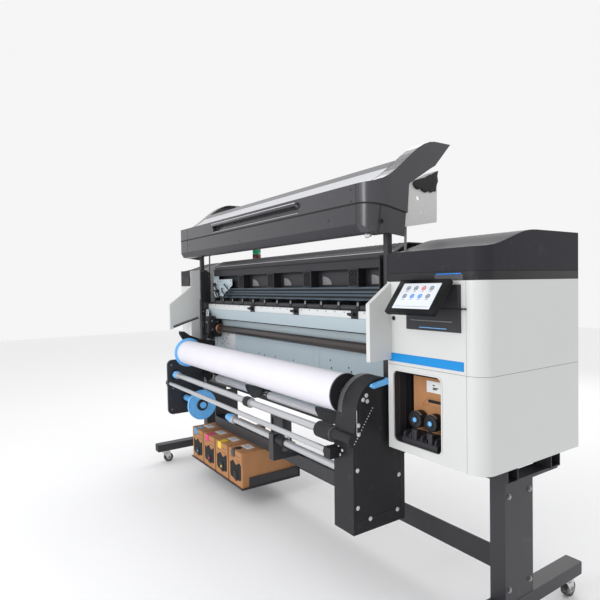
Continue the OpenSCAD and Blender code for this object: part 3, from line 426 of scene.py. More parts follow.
# %% Materials of the measured nodes
finish_of = {
    black_paint: ["foot_bars", "stand_frame", "frame_beams", "rear_panel", "takeup_beam", "ink_rack",
                  "support_plate", "lift_guides", "lift_posts", "strut_cylinders"],
    white_paint: ["left_cabinet", "right_cabinet", "cheeks"],
    cover_satin: ["top_covers"], cover_grey: ["beam_cover"],
    fascia_dark: ["fascia", "ink_bay_liner", "screen_bracket"],
    hood_satin: ["hood_upper", "hood_handle"], hood_shaded_satin: ["hood_lower"],
    zinc: ["side_plates", "hood_brackets"] + ["castor_fork_%d" % i for i in (1, 2, 3, 4)],
    black_mould: ["air_modules", "edge_holders", "diverter_brackets", "drive_housing", "power_button",
                  "carriage", "carriage_belt"],
    rail_blue: ["carriage_rail"], platen_light: ["platen"], sheet_blue: ["media_panel"],
    bright_tube: ["front_bar", "takeup_core", "upper_roller"], grey_trim: ["strut_rods"],
    steel: ["feed_roller"], silver_trim: ["exit_rollers"],
    roller_brown: ["diverter_tube"], roller_rubber: ["pinch_rollers"], paper_white: ["media_roll"],
    blue_mould: ["media_flanges", "takeup_flange", "lock_lever"], screen_black: ["touch_screen"],
    board: ["bay_carton"] + ["ink_carton_%d" % i for i in (1, 2, 3, 4)],
    beacon_green: ["beacon"], tyre_rubber: ["castor_wheel_%d" % i for i in (1, 2, 3, 4)],
}
for finish, names in finish_of.items():
    for name in names:
        nodes[name].data.materials.clear()
        nodes[name].data.materials.append(finish)
left_bare = set(nodes) - {n for names in finish_of.values() for n in names}
print("nodes with no finish yet:", sorted(left_bare))

# %% [markdown]
# ## Hood trim
# A bright strip and a grey panel lie along the hood's top, between its two raised ends. Both follow the rise
# of the top. Their outline is taken from the same smooth rise as the measured hood, and extruded along the
# machine.

# %% The strip and the panel on the hood's top
hood_rise, hood_run = 0.185, 0.437
top_edge = hood_up.z1 - hood_rise

def hood_top(y):
    t = min(1.0, (y - hood_up.y0) / hood_run / 0.8)
    return top_edge + hood_rise * (1 - math.cos(math.pi * t)) / 2

def lay_on_hood(name, y0, y1, thick, x0, x1):
    steps = [y0 + (y1 - y0) * k / 10 for k in range(11)]
    outline = [(y, hood_top(y) + thick) for y in steps]
    outline += [(y, hood_top(y) - 0.001) for y in reversed(steps)]
    return bar(name, outline, x0, x1, "X", soft=0.0004)

trim_l, trim_r = hood_up.x0 + 0.075, hood_up.x1 - 0.072
strip = lay_on_hood("hood_silver_strip", hood_up.y0 + 0.018, hood_up.y0 + 0.150, 0.0016, trim_l, trim_r)
hand_in(strip, silver_trim, "hood")
top_panel = lay_on_hood("hood_top_panel", hood_up.y0 + 0.152, hood_up.y0 + 0.189, 0.0012, trim_l, trim_r)
hand_in(top_panel, grey_trim, "hood")
print("hood trim from", round(trim_l, 3), "to", round(trim_r, 3))

# %% [markdown]
# ## Joints in the hood's shells
# The face is moulded in three lengths: an end cap, a long face and the rounded corner. Thin dark
# lines show where they meet. A line this thin would be lost in a texture, so it is a shallow
# dark fillet with its own softened edges.

# %% Seams
seam_top = top_edge - 0.003

def face_seam(name, x, z0, z1):
    return block(name, (x - 0.0009, hood_up.y0 - 0.0006, z0), (x + 0.0009, hood_up.y0 + 0.002, z1), 0.0003)

seams = [face_seam("s", x, z0, z1) for x in (-0.937, hood_up.x1 - 0.0905)
         for z0, z1 in ((1.4585, 1.534), (1.538, seam_top))]
seams.append(bar("s", mm(-239.2, 1525,  -237.4, 1525,  -251.1, 1418,  -252.9, 1418),
                 hood_low.x1 - 0.002, hood_low.x1 + 0.0006))
hand_in(join("hood_seams", seams), deep_black, "hood")

def ribbon(name, plan, height, half, thick):
    """A thin band that follows a plan line, with its middle at height(y)."""
    deselect()
    bpy.ops.mesh.primitive_grid_add(x_subdivisions=len(plan) - 1, y_subdivisions=1)
    piece = bpy.context.object
    piece.name = name
    for k, vertex in enumerate(piece.data.vertices):
        x, y = plan[k % len(plan)]
        vertex.co = (x, y, height(y) + (half if k >= len(plan) else -half))
    solid = piece.modifiers.new("thickness", "SOLIDIFY")
    solid.thickness, solid.offset = thick, 0
    bpy.ops.object.modifier_apply(modifier=solid.name)
    return piece

def hood_line(out):
    """The hood's plan line, out from the shell by out: a small left corner and a wide right one."""
    x0, x1, y0, small, wide = hood_low.x0, hood_low.x1, hood_up.y0, 0.016, 0.09
    line = [(x0 - out, y0 + 0.17), (x0 - out, y0 + small)]
    line += [(x0 + small - (small + out) * math.cos(a), y0 + small - (small + out) * math.sin(a))
             for a in quarter_turn(6)]
    line += [(x1 - wide + (wide + out) * math.sin(a), y0 + wide - (wide + out) * math.cos(a))
             for a in quarter_turn(14)]
    return line + [(x1 + out, y0 + 0.176)]

seam = ribbon("hood_shell_seam", hood_line(0.0003), lambda y: 1.536 - 0.2 * (y - hood_up.y0), 0.0036, 0.0012)
hand_in(seam, deep_black, "hood")

# %% Painted shade on the bevel along the lower edge
y_low, z_bend = hood_low.y0, 1.4575
bevel_outline = [(y_low - 0.0006, z_bend), (y_low + 0.0214, 1.4256), (y_low + 0.0224, 1.4262),
    (y_low + 0.0008, z_bend + 0.0006)]
# A dark strip laid on the bevel is painted shade, where the face turns down away from the light.
bevel_shade = bar("bevel_painted_shade", bevel_outline, hood_low.x0 + 0.018, hood_low.x1 - 0.0905, "X",
    soft=0.0002)
hand_in(bevel_shade, fascia_dark, "hood")

# %% Grip bar, face screws, roller pin and side port
gx0, gx1 = grip.x0, grip.x1
grip_bar = bar("hood_grip_bar", [(grip.y0 + 0.001, grip.z0 + 0.0005), (grip.y0 - 0.0065, grip.z0 + 0.003),
        (grip.y0 - 0.0075, grip.z0 + 0.008), (grip.y0 - 0.0045, grip.z1 - 0.001),
        (grip.y0 + 0.004, grip.z1 + 0.0004)], gx0 + 0.004, gx1 - 0.004, "X", 0.0018)
posts = [rod("post", (x, grip.y0 - 0.0015, grip.z0 + 0.007),
        (x + 0.016 * way, hood_up.y0 + 0.001, grip.z0 - 0.006), 0.0062, 20, 0.001)
    for x, way in ((gx0 + 0.012, -1), (gx1 - 0.012, 1))]
hand_in(join("hood_grip_bar", [grip_bar] + posts), hood_satin, "hood")
# Bright strips on the grip bar's top and on the recess's lower lip are painted highlights, where these edges
# catch the light.
grip_highlights = [block("edge", (gx0 + 0.006, grip.y0 - 0.0066, grip.z1 - 0.0026),
        (gx1 - 0.006, grip.y0 - 0.0040, grip.z1 + 0.0004), 0.0004),
    block("lip", (gx0 + 0.004, hood_up.y0 - 0.0014, 1.5478), (gx1 - 0.004, hood_up.y0 + 0.001, 1.5496),
        0.0005)]
hand_in(join("hood_grip_painted_highlights", grip_highlights), silver_trim, "hood")

screw_head = mm(0, 0.6,  0, 3.2,  1.2, 3.6,  1.6, 2.8,  1, 1.2)
screws = [turned("screw", screw_head, (x, hood_up.y0 - 0.0012, z), "Y", 20)
          for x, z in mm(745, 1592,  745, 1548,  -905, 1500,  600, 1490,  -200, 1470)]
hand_in(join("hood_face_screws", screws), black_mould, "hood")

pin = turned("hood_roller_pin", mm(0, 1.5,  0, 8.5,  3, 9.5,  10, 9.5,  13, 7,  26, 6.5,  28, 1.5),
    (0.785, -0.245, 1.4130), "X", 32)
hand_in(pin, zinc, "hood")
port = turned("hood_side_port", mm(0, 0.5,  0, 6.8,  1.5, 8.5,  3, 8.5,  3, 5.8,  1.2, 5),
    (hood_low.x1 - 0.0022, hood_low.y0 + 0.048, hood_low.z0 + 0.053), "X", 32)
hand_in(port, deep_black, "hood")

# %% [markdown]
# ## Latches on the hood's brackets
# Behind each end of the hood a dark cast latch is bolted to a bright bracket. Its shape is rough
# and ribbed, so it is an outline with a broken edge, extruded and crossed by ribs.

# %% Latches
bracket = Box("hood_brackets")
latch_outline = mm(-58, 1622,  -50, 1606,  -32, 1598,  -16, 1604,  -4, 1594,  14, 1590,  28, 1600,
    44, 1592,  56, 1603,  68, 1598,  72, 1622,  82, 1640,  78, 1662,  84, 1684,  72, 1678,  52, 1668,
    36, 1664,  16, 1652,  -6, 1646,  -26, 1640,  -44, 1634)
clear, thick = 0.0006, 0.0118
latch_ends = ((bracket.x1 - thick, bracket.x1 - clear), (bracket.x0 + clear, bracket.x0 + thick))
for number, (x0, x1) in enumerate(latch_ends, 1):
    latch = bar("latch", latch_outline, x0, x1, "X", soft=0.0012)
    ribs = [block("rib", (x0 - 0.0015, y, z), (x1 + 0.0004, y + 0.006, z + 0.034), 0.0012)
            for y, z in mm(-22, 1603,  2, 1606,  26, 1612,  50, 1618)]
    hand_in(join("hood_latch_%d" % number, [latch] + ribs), black_mould, "hood")

# %% [markdown]
# ## Fixed covers and light bar
# A darker step runs round the foot of the right cover, with a blue light bar and a small grip
# recess in its middle. The step is one band bent round the cover's corner: its plan outline is
# drawn with an arc at the corner and extruded upwards.

# %% Band round the right cover
def band(name, x0, x1, y0, y1, z0, z1, corner, out, inner):
    """A band round a cabinet's front and outer side, standing out by out."""
    def edge(d):
        r = corner + d
        arc = [(x1 - corner + r * math.sin(a), y0 + corner - r * math.cos(a))
               for a in quarter_turn(10)]
        return [(x0, y0 - d)] + arc + [(x1 + d, y1)]
    return bar(name, edge(out) + list(reversed(edge(-inner))), z0, z1, "Z", soft=0.0004)

cover_low = covers.z0
step = band("cover_step", gap_r + 0.006, covers.x1, covers.y0, covers.y1 - 0.004, cover_low + 0.0008,
            cover_low + 0.029, 0.06, 0.0012, 0.001)
hand_in(step, black_mould)
shadow = band("cover_shadow_line", gap_r + 0.006, covers.x1, covers.y0, covers.y1 - 0.004,
              cover_low + 0.0295, cover_low + 0.0315, 0.06, 0.0004, 0.001)
hand_in(shadow, deep_black)

glow = block("light_bar", (1.108, front - 0.0030, 1.2538), (1.212, front - 0.001, 1.2568), 0.0009, 3)
hand_in(glow, light_bar)
recess = sink(block("cover_grip", (1.102, front - 0.0020, 1.2345), (1.218, front - 0.001, 1.2525), 0.0004),
              (0, -1, 0), 0.003, -0.0006)
hand_in(recess, cover_grey)

# %% [markdown]
# ## Accent strip, joints and the ink bay's rim
# A blue strip crosses the cabinet's front above a fine joint. The joint goes on round the
# cabinet's side. The ink bay has a pale rim with round corners: a plate whose faces are inset,
# joined through and cleared in the middle.

# %% Blue strip and joints
accent = block("blue_accent", (gap_r + 0.006, front - 0.0016, 0.9375), (1.2185, front + 0.001, 0.9685),
    0.0007)
accent = sink(accent, (0, -1, 0), 0.0015, 0.0005)
hand_in(accent, blue_strip)
joint_line = band("cabinet_joint", gap_r + 0.001, right_cab.x1, right_cab.y0, right_cab.y1 - 0.004,
                  0.9245, 0.9262, 0.06, 0.0003, 0.001)
hand_in(joint_line, grey_trim)

# %% Dark strip on the inner wall's edge
wall_edge = block("inner_wall_strip", (gap_r - 0.0008, front - 0.0008, covers.z0 + 0.002),
    (gap_r + 0.0052, front + 0.0012, 1.3385), 0.0004)
hand_in(wall_edge, cover_satin)

# %% Rim of the ink bay
def round_outline(x0, x1, z0, z1, r, steps=8):
    """A rectangle's outline with its corners rounded by r."""
    points = []
    for cx, cz, turn in ((x1 - r, z1 - r, 0), (x0 + r, z1 - r, 1), (x0 + r, z0 + r, 2), (x1 - r, z0 + r, 3)):
        points += [around(cx, cz, r, math.pi / 2 * (turn + k / steps)) for k in range(steps + 1)]
    return points

def ring_plate(name, x0, x1, z0, z1, r, width, y0, y1):
    """A flat frame round an opening: the outer outline is inset and the middle removed."""
    piece = bar(name, round_outline(x0, x1, z0, z1, r), y0, y1, "Y")
    deselect()
    piece.select_set(True)
    bpy.context.view_layer.objects.active = piece
    bpy.ops.object.mode_set(mode="EDIT")
    bpy.ops.mesh.select_mode(type="FACE")
    mesh = bmesh.from_edit_mesh(piece.data)
    for f in mesh.faces:
        f.select = abs(f.normal.y) > 0.98
    bmesh.update_edit_mesh(piece.data)
    bpy.ops.mesh.inset(thickness=width, depth=0, use_individual=True)
    bpy.ops.mesh.bridge_edge_loops()
    mesh = bmesh.from_edit_mesh(piece.data)
    big = [f for f in mesh.faces if abs(f.normal.y) > 0.98 and len(f.verts) > 8]
    bmesh.ops.delete(mesh, geom=big, context="FACES")
    bmesh.update_edit_mesh(piece.data)
    bpy.ops.mesh.select_all(action="SELECT")
    bpy.ops.mesh.normals_make_consistent(inside=False)
    bpy.ops.object.mode_set(mode="OBJECT")
    return soften(piece, 0.0005, 2)

bay_x0, bay_x1, bay_z0, bay_z1 = 0.898, 1.124, 0.640, 0.903
rim = ring_plate("ink_bay_rim", bay_x0 - 0.005, bay_x1 + 0.005, bay_z0 - 0.005, bay_z1 + 0.005, 0.025,
                 0.005, front - 0.0022, front - 0.0003)
hand_in(rim, white_paint)
print("rim faces", len(rim.data.polygons))

# %% [markdown]
# ## Touch screen
# The screen hangs from its top edge and leans out. Its parts are modelled upright beside its
# hinge and then leaned by the same angle, so they lie flat on its face. They ride on the screen.

# %% Glass, lit picture and bezel
hinge = Vector((gap_r + 0.216, front - 0.017, covers.z0 - 0.012))
lean = Matrix.Translation(hinge) @ Matrix.Rotation(math.radians(-38), 4, "X")

def on_screen(piece):
    deselect()
    piece.data.transform(lean)
    return piece

glass_y = -0.0224
glass = block("screen_glass", (-0.1085, glass_y, -0.1315), (0.1085, glass_y + 0.001, 0.0035), 0.0004)
hand_in(on_screen(glass), screen_black, "screen")
lit_area = block("screen_picture", (-0.083, glass_y - 0.0006, -0.117), (0.083, glass_y + 0.0003, -0.012),
    0.0002)
hand_in(on_screen(lit_area), screen_lit, "screen")
back_shell = sink(block("screen_back", (-0.106, -0.0085, -0.129), (0.106, -0.0055, -0.012), 0.001),
    (0, 1, 0), 0.006, -0.001)
hand_in(on_screen(back_shell), black_mould, "screen")

# %% Signs on the lit picture
def disc(name, x, z, r, y, thick=0.0004, sides=28):
    return turned(name, [(0, 0.0001), (0, r), (thick, r), (thick, 0.0001)], (x, y - thick, z), "Y", sides)

for row, z in enumerate((-0.033, -0.066)):
    for column in range(4):
        x = -0.052 + 0.0345 * column
        colour = screen_red if row + column == 2 else screen_grey
        if row == 1 and column in (1, 2):
            colour = screen_blue
        ring = turned("sign", mm(0, 5.6,  0, 9.2,  0.4, 9.2,  0.4, 5.6),
                      (x, glass_y - 0.001, z), "Y", 28)
        middle = disc("middle", x, z, 0.0036, glass_y - 0.0006)
        line = block("line", (x - 0.007, glass_y - 0.0009, z - 0.0145),
            (x + 0.007, glass_y - 0.0004, z - 0.0132), 0.0001)
        sign = join("screen_sign_%d_%d" % (row + 1, column + 1), [ring, middle, line])
        hand_in(on_screen(sign), colour, "screen")
foot_line = block("screen_foot_line", (-0.074, glass_y - 0.0009, -0.1085),
    (0.074, glass_y - 0.0004, -0.1075), 0.0001)
hand_in(on_screen(foot_line), screen_grey, "screen")
print("screen hinge", [round(v, 3) for v in hinge])

# %% Bracket behind the screen
bracket_face = Box("screen_bracket")
pad = bar("screen_bracket_pad", round_outline(bracket_face.x0 + 0.004, bracket_face.x1 - 0.003,
        bracket_face.z0 + 0.004, 1.219, 0.014), bracket_face.y1 - 0.0075, bracket_face.y1 - 0.004, "Y",
    0.0008)
pad = sink(pad, (0, -1, 0), 0.006, 0.0008)
hand_in(pad, fascia_dark)
slits = [block("s", (0.998, front - 0.0078, 1.0915), (1.178, front - 0.0055, 1.0945), 0.0008),
         block("s", (1.106, front - 0.0090, 1.1385), (1.2310, front - 0.0002, 1.1430), 0.0010)]
hand_in(join("screen_bracket_slots", slits), deep_black)
lip = block("screen_bracket_lip", (0.996, front - 0.0105, 1.0955), (1.18, front - 0.0055, 1.0985), 0.0008)
hand_in(lip, grey_trim)
# A thin blue strip below the slot is a painted highlight: the bluish glint of light at the slot's edge.
painted_glint = block("screen_bracket_painted_glint", (1.035, front - 0.0083, 1.0715), (1.155, front - 0.0072, 1.0745),
    0.0005)
hand_in(painted_glint, blue_mould)

# %% [markdown]
# ## Carton in the ink bay
# The carton carries a plain white label, a folded hand hole and two round connectors. Each connector is a
# black cap with grip ribs, a bright arc on top that is a painted highlight, and a blue dot in the middle.

# %% Bay carton
carton = Box("bay_carton")
face_y = carton.y0 + 0.040
label = block("bay_carton_label", (carton.x0 + 0.064, face_y - 0.0007, carton.z1 - 0.052),
              (carton.x0 + 0.142, face_y + 0.0004, carton.z1 - 0.010), 0.0003)
hand_in(label, ink_tones["label"], "bay_carton")
label_marks = [block("m", (carton.x0 + 0.093, face_y - 0.0011, carton.z1 - z - 0.002),
                     (carton.x0 + 0.093 + w, face_y - 0.0006, carton.z1 - z + 0.002), 0.0002)
               for z, w in mm(24, 10,  34, 26,  39, 18)]
hand_in(join("bay_carton_label_lines", label_marks), ink_tones["black"], "bay_carton")
flap_outline = [(carton.x0 + along, carton.z1 - down) for along, down in
    mm(58, 82,  68, 71,  140, 74,  148, 84,  146, 112,  118, 104,  88, 104,  70, 96,  44, 108,  46, 95)]
flap = bar("bay_carton_flap", flap_outline, face_y - 0.0024, face_y + 0.0004, "Y", 0.0006)
flap = sink(flap, (0, -1, 0), 0.0022, -0.0018)
hand_in(flap, board, "bay_carton")
hole = bar("bay_carton_hand_hole", round_outline(carton.x0 + 0.072, carton.x0 + 0.136, carton.z1 - 0.089,
        carton.z1 - 0.078, 0.005), face_y - 0.0029, face_y - 0.0014, "Y", 0.0003)
hand_in(hole, deep_black, "bay_carton")

def connector(name, x, y, z, r, body, dot):
    """A round black cap with grip ribs, a bright arc over its top as a painted highlight, and a dot in its
    middle.
    """
    cap = turned("cap", [(0.0385, r + 0.0004), (0.0385, r + 0.0022), (0.0006, r + 0.0022),
            (-0.0010, r + 0.0012), (-0.0020, r - 0.002), (-0.0026, r * 0.62), (-0.0014, r * 0.56),
            (-0.0012, 0.0001), (0.002, 0.0001), (0.002, r + 0.0004)], (x, y, z), "Y", 40)
    ribs = rods_round("Y", (x, z), r + 0.0018, y + 0.008, y + 0.036, 0.0016, full_turn(14))
    hand_in(join(name + "_cap", [cap] + ribs), black_mould, body)
    jewel = turned(name + "_dot", [(0, 0.0001), (0, r * 0.3), (0.0016, r * 0.35), (0.0022, 0.0001)],
                   (x, y - 0.0034, z), "Y", 6)
    hand_in(jewel, dot, body)
    # The bright arc over the cap's top is a painted highlight, where the rim catches the light.
    arc = [math.radians(40 + 10 * k) for k in range(11)]
    edges = [around(x, z, r + 0.004, a) for a in arc] + [around(x, z, r + 0.0024, a) for a in reversed(arc)]
    top_highlight = bar(name + "_clip", edges, y + 0.004, y + 0.012, "Y", 0.0003)
    hand_in(top_highlight, steel, body)

mid_bay = (carton.x0 + carton.x1) / 2
for number, x in enumerate((mid_bay - 0.036, mid_bay + 0.036), 1):
    connector("bay_connector_%d" % number, x, carton.y0, carton.z0 + 0.045, 0.028, "bay_carton", blue_mould)

# %% Tray in the bay
tray_rib = mm(-204, 658.5,  -204, 676,  -197, 681,  -152, 681.5,  -146, 658.5)
tray_guide = mm(-204, 658.5,  -204, 690,  -200, 695.5,  -192, 695.5,  -190, 658.5)
tray = [bar("rib", tray_rib, x, x + 0.007, "X", 0.0010) for x in (0.934, 0.963, 1.017, 1.046, 1.082)]
tray += [bar("guide", tray_guide, x - 0.012, x + 0.012, "X", 0.0016) for x in (0.985, 1.057)]
hand_in(join("ink_bay_tray", tray), fascia_dark)
wall_ribs = [block("rib", (bay_x0 + 0.0004, y, bay_z0 + 0.02), (bay_x0 + 0.0026, y + 0.006, bay_z1 - 0.02),
        0.0008) for y in (-0.19, -0.16, -0.13, -0.10, -0.07, -0.04)]
hand_in(join("ink_bay_wall_ribs", wall_ribs), fascia_dark)

# %% [markdown]
# ## Print beam
# Above the print zone lies a cover with close ribs, and below it dry-air modules with a diagonal
# lattice. One lattice is modelled from clipped diagonals and copied along the beam.

# %% Ribs of the beam cover
cover = Box("beam_cover")
rib_count, rib_pitch = 58, 0.0296
rib_outline = [(cover.y0 + 0.033, 1.3792), (cover.y0 + 0.069, 1.3978), (cover.y0 + 0.074, 1.3985),
               (cover.y0 + 0.074, 1.396), (cover.y0 + 0.036, 1.377)]
rib_starts = [cover.x0 + 0.016 + k * rib_pitch for k in range(rib_count)]
rib_run = [bar("rib", rib_outline, x, x + 0.010, "X") for x in rib_starts]
hand_in(join("beam_cover_ribs", rib_run), cover_grey)
# The bright line along the beam cover's front is a painted highlight, and the dark line at the fascia below
# it is a painted shadow.
beam_highlight = block("beam_painted_highlight", (cover.x0 + 0.012, cover.y0 - 0.0012, 1.3585),
                   (cover.x1 - 0.012, cover.y0 + 0.001, 1.3610), 0.0005)
hand_in(beam_highlight, silver_trim)
dark_line = block("fascia_shadow_line", (cover.x0 + 0.012, Box("fascia").y0 - 0.0008, 1.3335),
                  (cover.x1 - 0.012, Box("fascia").y0 + 0.001, 1.3365), 0.0004)
hand_in(dark_line, deep_black)

# %% Lattice of the air modules
def clipped(x0, x1, z0, z1, c, rising):
    """The part of a diagonal line inside a rectangle, as two points, or nothing."""
    found = []
    for x in (x0, x1):
        z = c + (x if rising else -x)
        if z0 <= z <= z1:
            found.append((x, z))
    for z in (z0, z1):
        x = (z - c) if rising else (c - z)
        if x0 < x < x1:
            found.append((x, z))
    return found[:2] if len(found) > 1 else None

def lattice(x, y):
    """The grille of one module: crossed wires inside a flat rim."""
    pieces = []
    x0, x1, z0, z1 = x + 0.004, x + 0.066, air.z0 + 0.005, air.z1 - 0.005
    for rising in (True, False):
        for k in range(-6, 12):
            c = (z0 - x0 if rising else z0 + x0) + k * 0.019
            ends = clipped(x0, x1, z0, z1, c, rising)
            if ends and abs(ends[0][0] - ends[1][0]) > 0.006:
                (ax, az), (bx, bz) = ends
                pieces.append(rod("wire", (ax, y, az), (bx, y, bz), 0.0021, 6, 0))
    rim = [block("edge", (x + a, y - 0.0014, air.z0 + b), (x + c, y + 0.001, air.z0 + d), 0.0006)
        for a, b, c, d in mm(0, 0, 5, 82,  65, 0, 70, 82,  5, 0, 65, 5,  5, 77, 65, 82, each=4)]
    return join("lattice", pieces + rim)

first_module, module_step = -0.592, 0.36
first = lattice(first_module, air.y0 - 0.0006)
grilles = [first] + [copy_at(first, (module_step * k, 0, 0), "lattice") for k in (1, 2, 3)]
for k, grille in enumerate(grilles, 1):
    grille.name = "air_grille_%d" % k
    hand_in(grille, fascia_dark)
print("lattice vertices", len(first.data.vertices))

# %% Window plates between the modules, with a painted curved highlight on each
back_y = air.y0 + 0.044
for k in range(5):
    x0 = first_module + module_step * k - 0.262 if k else -0.895
    x1 = first_module + module_step * k - 0.022 if k < 4 else 0.762
    shade = sink(block("plate", (x0, back_y - 0.0012, air.z0 + 0.010),
            (x1, back_y + 0.0008, air.z1 - 0.008), 0.0006), (0, -1, 0), 0.005, -0.0008)
    hand_in(shade, fascia_dark).name = "module_plate_%d" % (k + 1)
    if k:
        # A light quarter-ellipse in each plate's corner is a painted curved highlight.
        arc = [(x0 + 0.012 + 0.058 * math.sin(a) * 1.25, air.z0 + 0.012 + 0.042 * math.cos(a))
               for a in quarter_turn(9)]
        plate_highlight = bar("module_highlight_%d" % k, [(x0 + 0.012, air.z0 + 0.012)] + arc, back_y - 0.0024,
            back_y - 0.0009, "Y", 0.0004)
        hand_in(plate_highlight, grey_trim)

# %% Dark inserts in the grooves of the rail
inserts = []
for low, high in mm(8, 20,  27, 35,  42, 54):
    inserts.append(bar("insert", [(rail.y0 + 0.0072, rail.z0 + low + 0.0006),
                (rail.y0 + 0.0052, rail.z0 + low + 0.0026), (rail.y0 + 0.0052, rail.z0 + high - 0.0026),
                (rail.y0 + 0.0072, rail.z0 + high - 0.0006)], rail.x0 + 0.072, rail.x1 - 0.001, "X",
            0.0005))
hand_in(join("rail_groove_inserts", inserts), deep_black)

# %% [markdown]
# ## Service corner and hose
# At the left of the print zone a pale sheet carries dark screws and a bunch of hoses. A hose is
# a curve through a few points, given a round section and turned into a mesh.

# %% Service sheet, its screws and hoses
def hose(name, points, radius):
    """A round hose along a smooth curve through the points."""
    deselect()
    bpy.ops.curve.primitive_nurbs_path_add()
    line = bpy.context.object
    line.name = name
    spline = line.data.splines[0]
    spline.points.add(max(0, len(points) - len(spline.points)))
    for point, place_at in zip(spline.points, points):
        point.co = (*place_at, 1)
    spline.use_endpoint_u = True
    line.data.bevel_depth, line.data.bevel_resolution, line.data.use_fill_caps = radius, 3, True
    line.data.resolution_u = 6
    bpy.ops.object.convert(target="MESH")
    return bpy.context.object

service = bar("service_plate", mm(-898.5, 1162,  -898.5, 1274,  -700, 1274,  -700, 1232,  -724, 1224,
        -748, 1206,  -800, 1190,  -838, 1162), -0.0840, -0.0806, "Y", 0.0006)
hand_in(service, sheet_blue)
sheet_y = -0.0842
dot_places = mm(-958, 1286,  -925, 1284,  -915, 1262,  -948, 1250,  -930, 1236,  -912, 1240,  -955, 1216,
    -936, 1205,  -918, 1196,  -952, 1178,  -930, 1168,  -812, 1242,  -806, 1236,  -842, 1214,
    -770, 1220,  -764, 1228,  -876, 1262,  -720, 1262,  -728, 1240,  -860, 1190)
dot_profile = mm(1.2, 0.5,  1.2, 4.2,  -0.8, 3.8,  -1.2, 0.5)
dots = [turned("dot", dot_profile, (x, sheet_y, z), "Y", 16) for x, z in dot_places]
hand_in(join("service_sheet_screws", dots), black_mould)
hoses = [hose("h", mm(-962, -94, 1226,  -944, -100, 1244,  -922, -99, 1232,  -900, -98, 1206,
            -886, -96, 1178,  -874, -94, 1152, each=3), 0.0042)]
hoses += [hose("h", mm(-964, -92, 1200,  -940, -104, 1212,  -916, -106, 1198,  -898, -104, 1176,
            -890, -102, 1158,  -880, -100, 1148, each=3), 0.0032)]
hoses += [hose("h", mm(-964, -96, 1172,  -948, -108, 1180,  -934, -110, 1172,  -922, -108, 1158,
            -916, -104, 1150,  -908, -100, 1148, each=3), 0.0036)]
hoses += [hose("h", mm(-812, -90, 1238,  -790, -98, 1240,  -764, -98, 1226,  -740, -96, 1206,
            -712, -94, 1190,  -690, -88, 1186, each=3), 0.0034)]
hoses += [hose("h", mm(-842, -90, 1214,  -826, -100, 1206,  -806, -100, 1186,  -790, -98, 1172,
            -760, -96, 1164,  -730, -88, 1162, each=3), 0.0040)]
clamps = [block("clamp", (-0.950, -0.103, 1.236), (-0.940, -0.0842, 1.250), 0.001),
          block("clamp", (-0.905, -0.109, 1.186), (-0.893, -0.0842, 1.206), 0.001)]
hand_in(join("service_hoses", hoses + clamps), black_mould)

# %% Lip, slots and springs over the platen
slots = [block("s", (x, platen.y0 - 0.0009, 1.1015), (x + 0.009, platen.y0 + 0.0006, 1.1045), 0.0003)
         for x in [-0.93 + 0.068 * k for k in range(25)]]
hand_in(join("platen_lip_slots", slots), black_mould)
spring_outline = mm(-113.5, 1130.5,  -113.5, 1145,  -112, 1146.5,  -87, 1146.5,  -87, 1145,  -110.8, 1145,
    -112, 1143.8,  -112, 1130.5)
springs = [bar("spring", spring_outline, x - 0.0065, x + 0.0065, "X", 0.0004)
           for x in [-0.910 + k * (1.62 / 12) for k in range(13)]]
hand_in(join("pinch_springs", springs), steel)

# %% Bush and holed bracket at the tube's left end
bush = turned("diverter_bush", mm(0, 24.5,  0, 31.2,  4, 32.5,  10, 31.2,  13.5, 26.2,  13.5, 24.5),
    (-0.8715, -0.098, 0.947), "X", 40)
hand_in(bush, copper)
lug = bar("bracket_sheet", mm(-972, 1007,  -972, 1066,  -962, 1074,  -938, 1074,  -926, 1062,  -926, 1030,
        -934, 1022,  -934, 1007), -0.1506, -0.1488, "Y", 0.0004)
hand_in(lug, zinc)
holes = [disc("h", x, z, r, -0.1506) for x, z, r in mm(-963, 1062, 4.2,  -948, 1066, 3,  -936, 1060, 4,
        -960, 1046, 3,  -945, 1048, 5,  -934, 1040, 3,  -960, 1028, 5,  -945, 1018, 3.5, each=3)]
hand_in(join("bracket_sheet_holes", holes), deep_black)

# %% Moulded cheek of the tube's bracket, and a painted shadow line along the apron's lower edge
mould = bar("tube_bracket_mould", mm(-176, 922,  -125.5, 922,  -125.5, 974.5,  -100, 974.5,  -100, 1008,
        -130, 1008,  -130, 1030,  -160, 1030,  -176, 1014), -0.9285, -0.8720, "X", 0.0030)
mould = sink(mould, (0, -1, 0), 0.006, -0.004)
hand_in(mould, black_mould)
bits = [block("b", (-0.912, -0.1785, 0.985), (-0.890, -0.1725, 0.999), 0.0012)]
bits += [rod("b", (-0.8718, y, z), (-0.8690, y, z), radius, 20)
         for y, z, radius in mm(-152, 998, 7,  -150, 942, 5,  -112, 992, 5, each=3)]
hand_in(join("tube_bracket_bolts", bits), steel)
# A dark line along the apron's lower edge is a painted shadow.
apron_shadow = bar("apron_painted_shadow_line", mm(-115.8, 1010.5,  -115.8, 1015,  -113, 1015,  -113, 1010.5), -0.870,
    0.768, "X", 0.0003)
hand_in(apron_shadow, deep_black)

# %% Screws of the back sheets
sheet_front, patch_end, patch_thick = -0.066, -0.700, 0.0012

def sheet_face(x):
    """The back sheet's front, or the front of the patch where that lies on it."""
    return sheet_front - (patch_thick if x < patch_end else 0)

patch = block("back_sheet_patch", (-0.906, sheet_front - patch_thick, 0.818),
    (patch_end, sheet_front + 0.0004, 0.925), 0.0004)
hand_in(patch, platen_light)
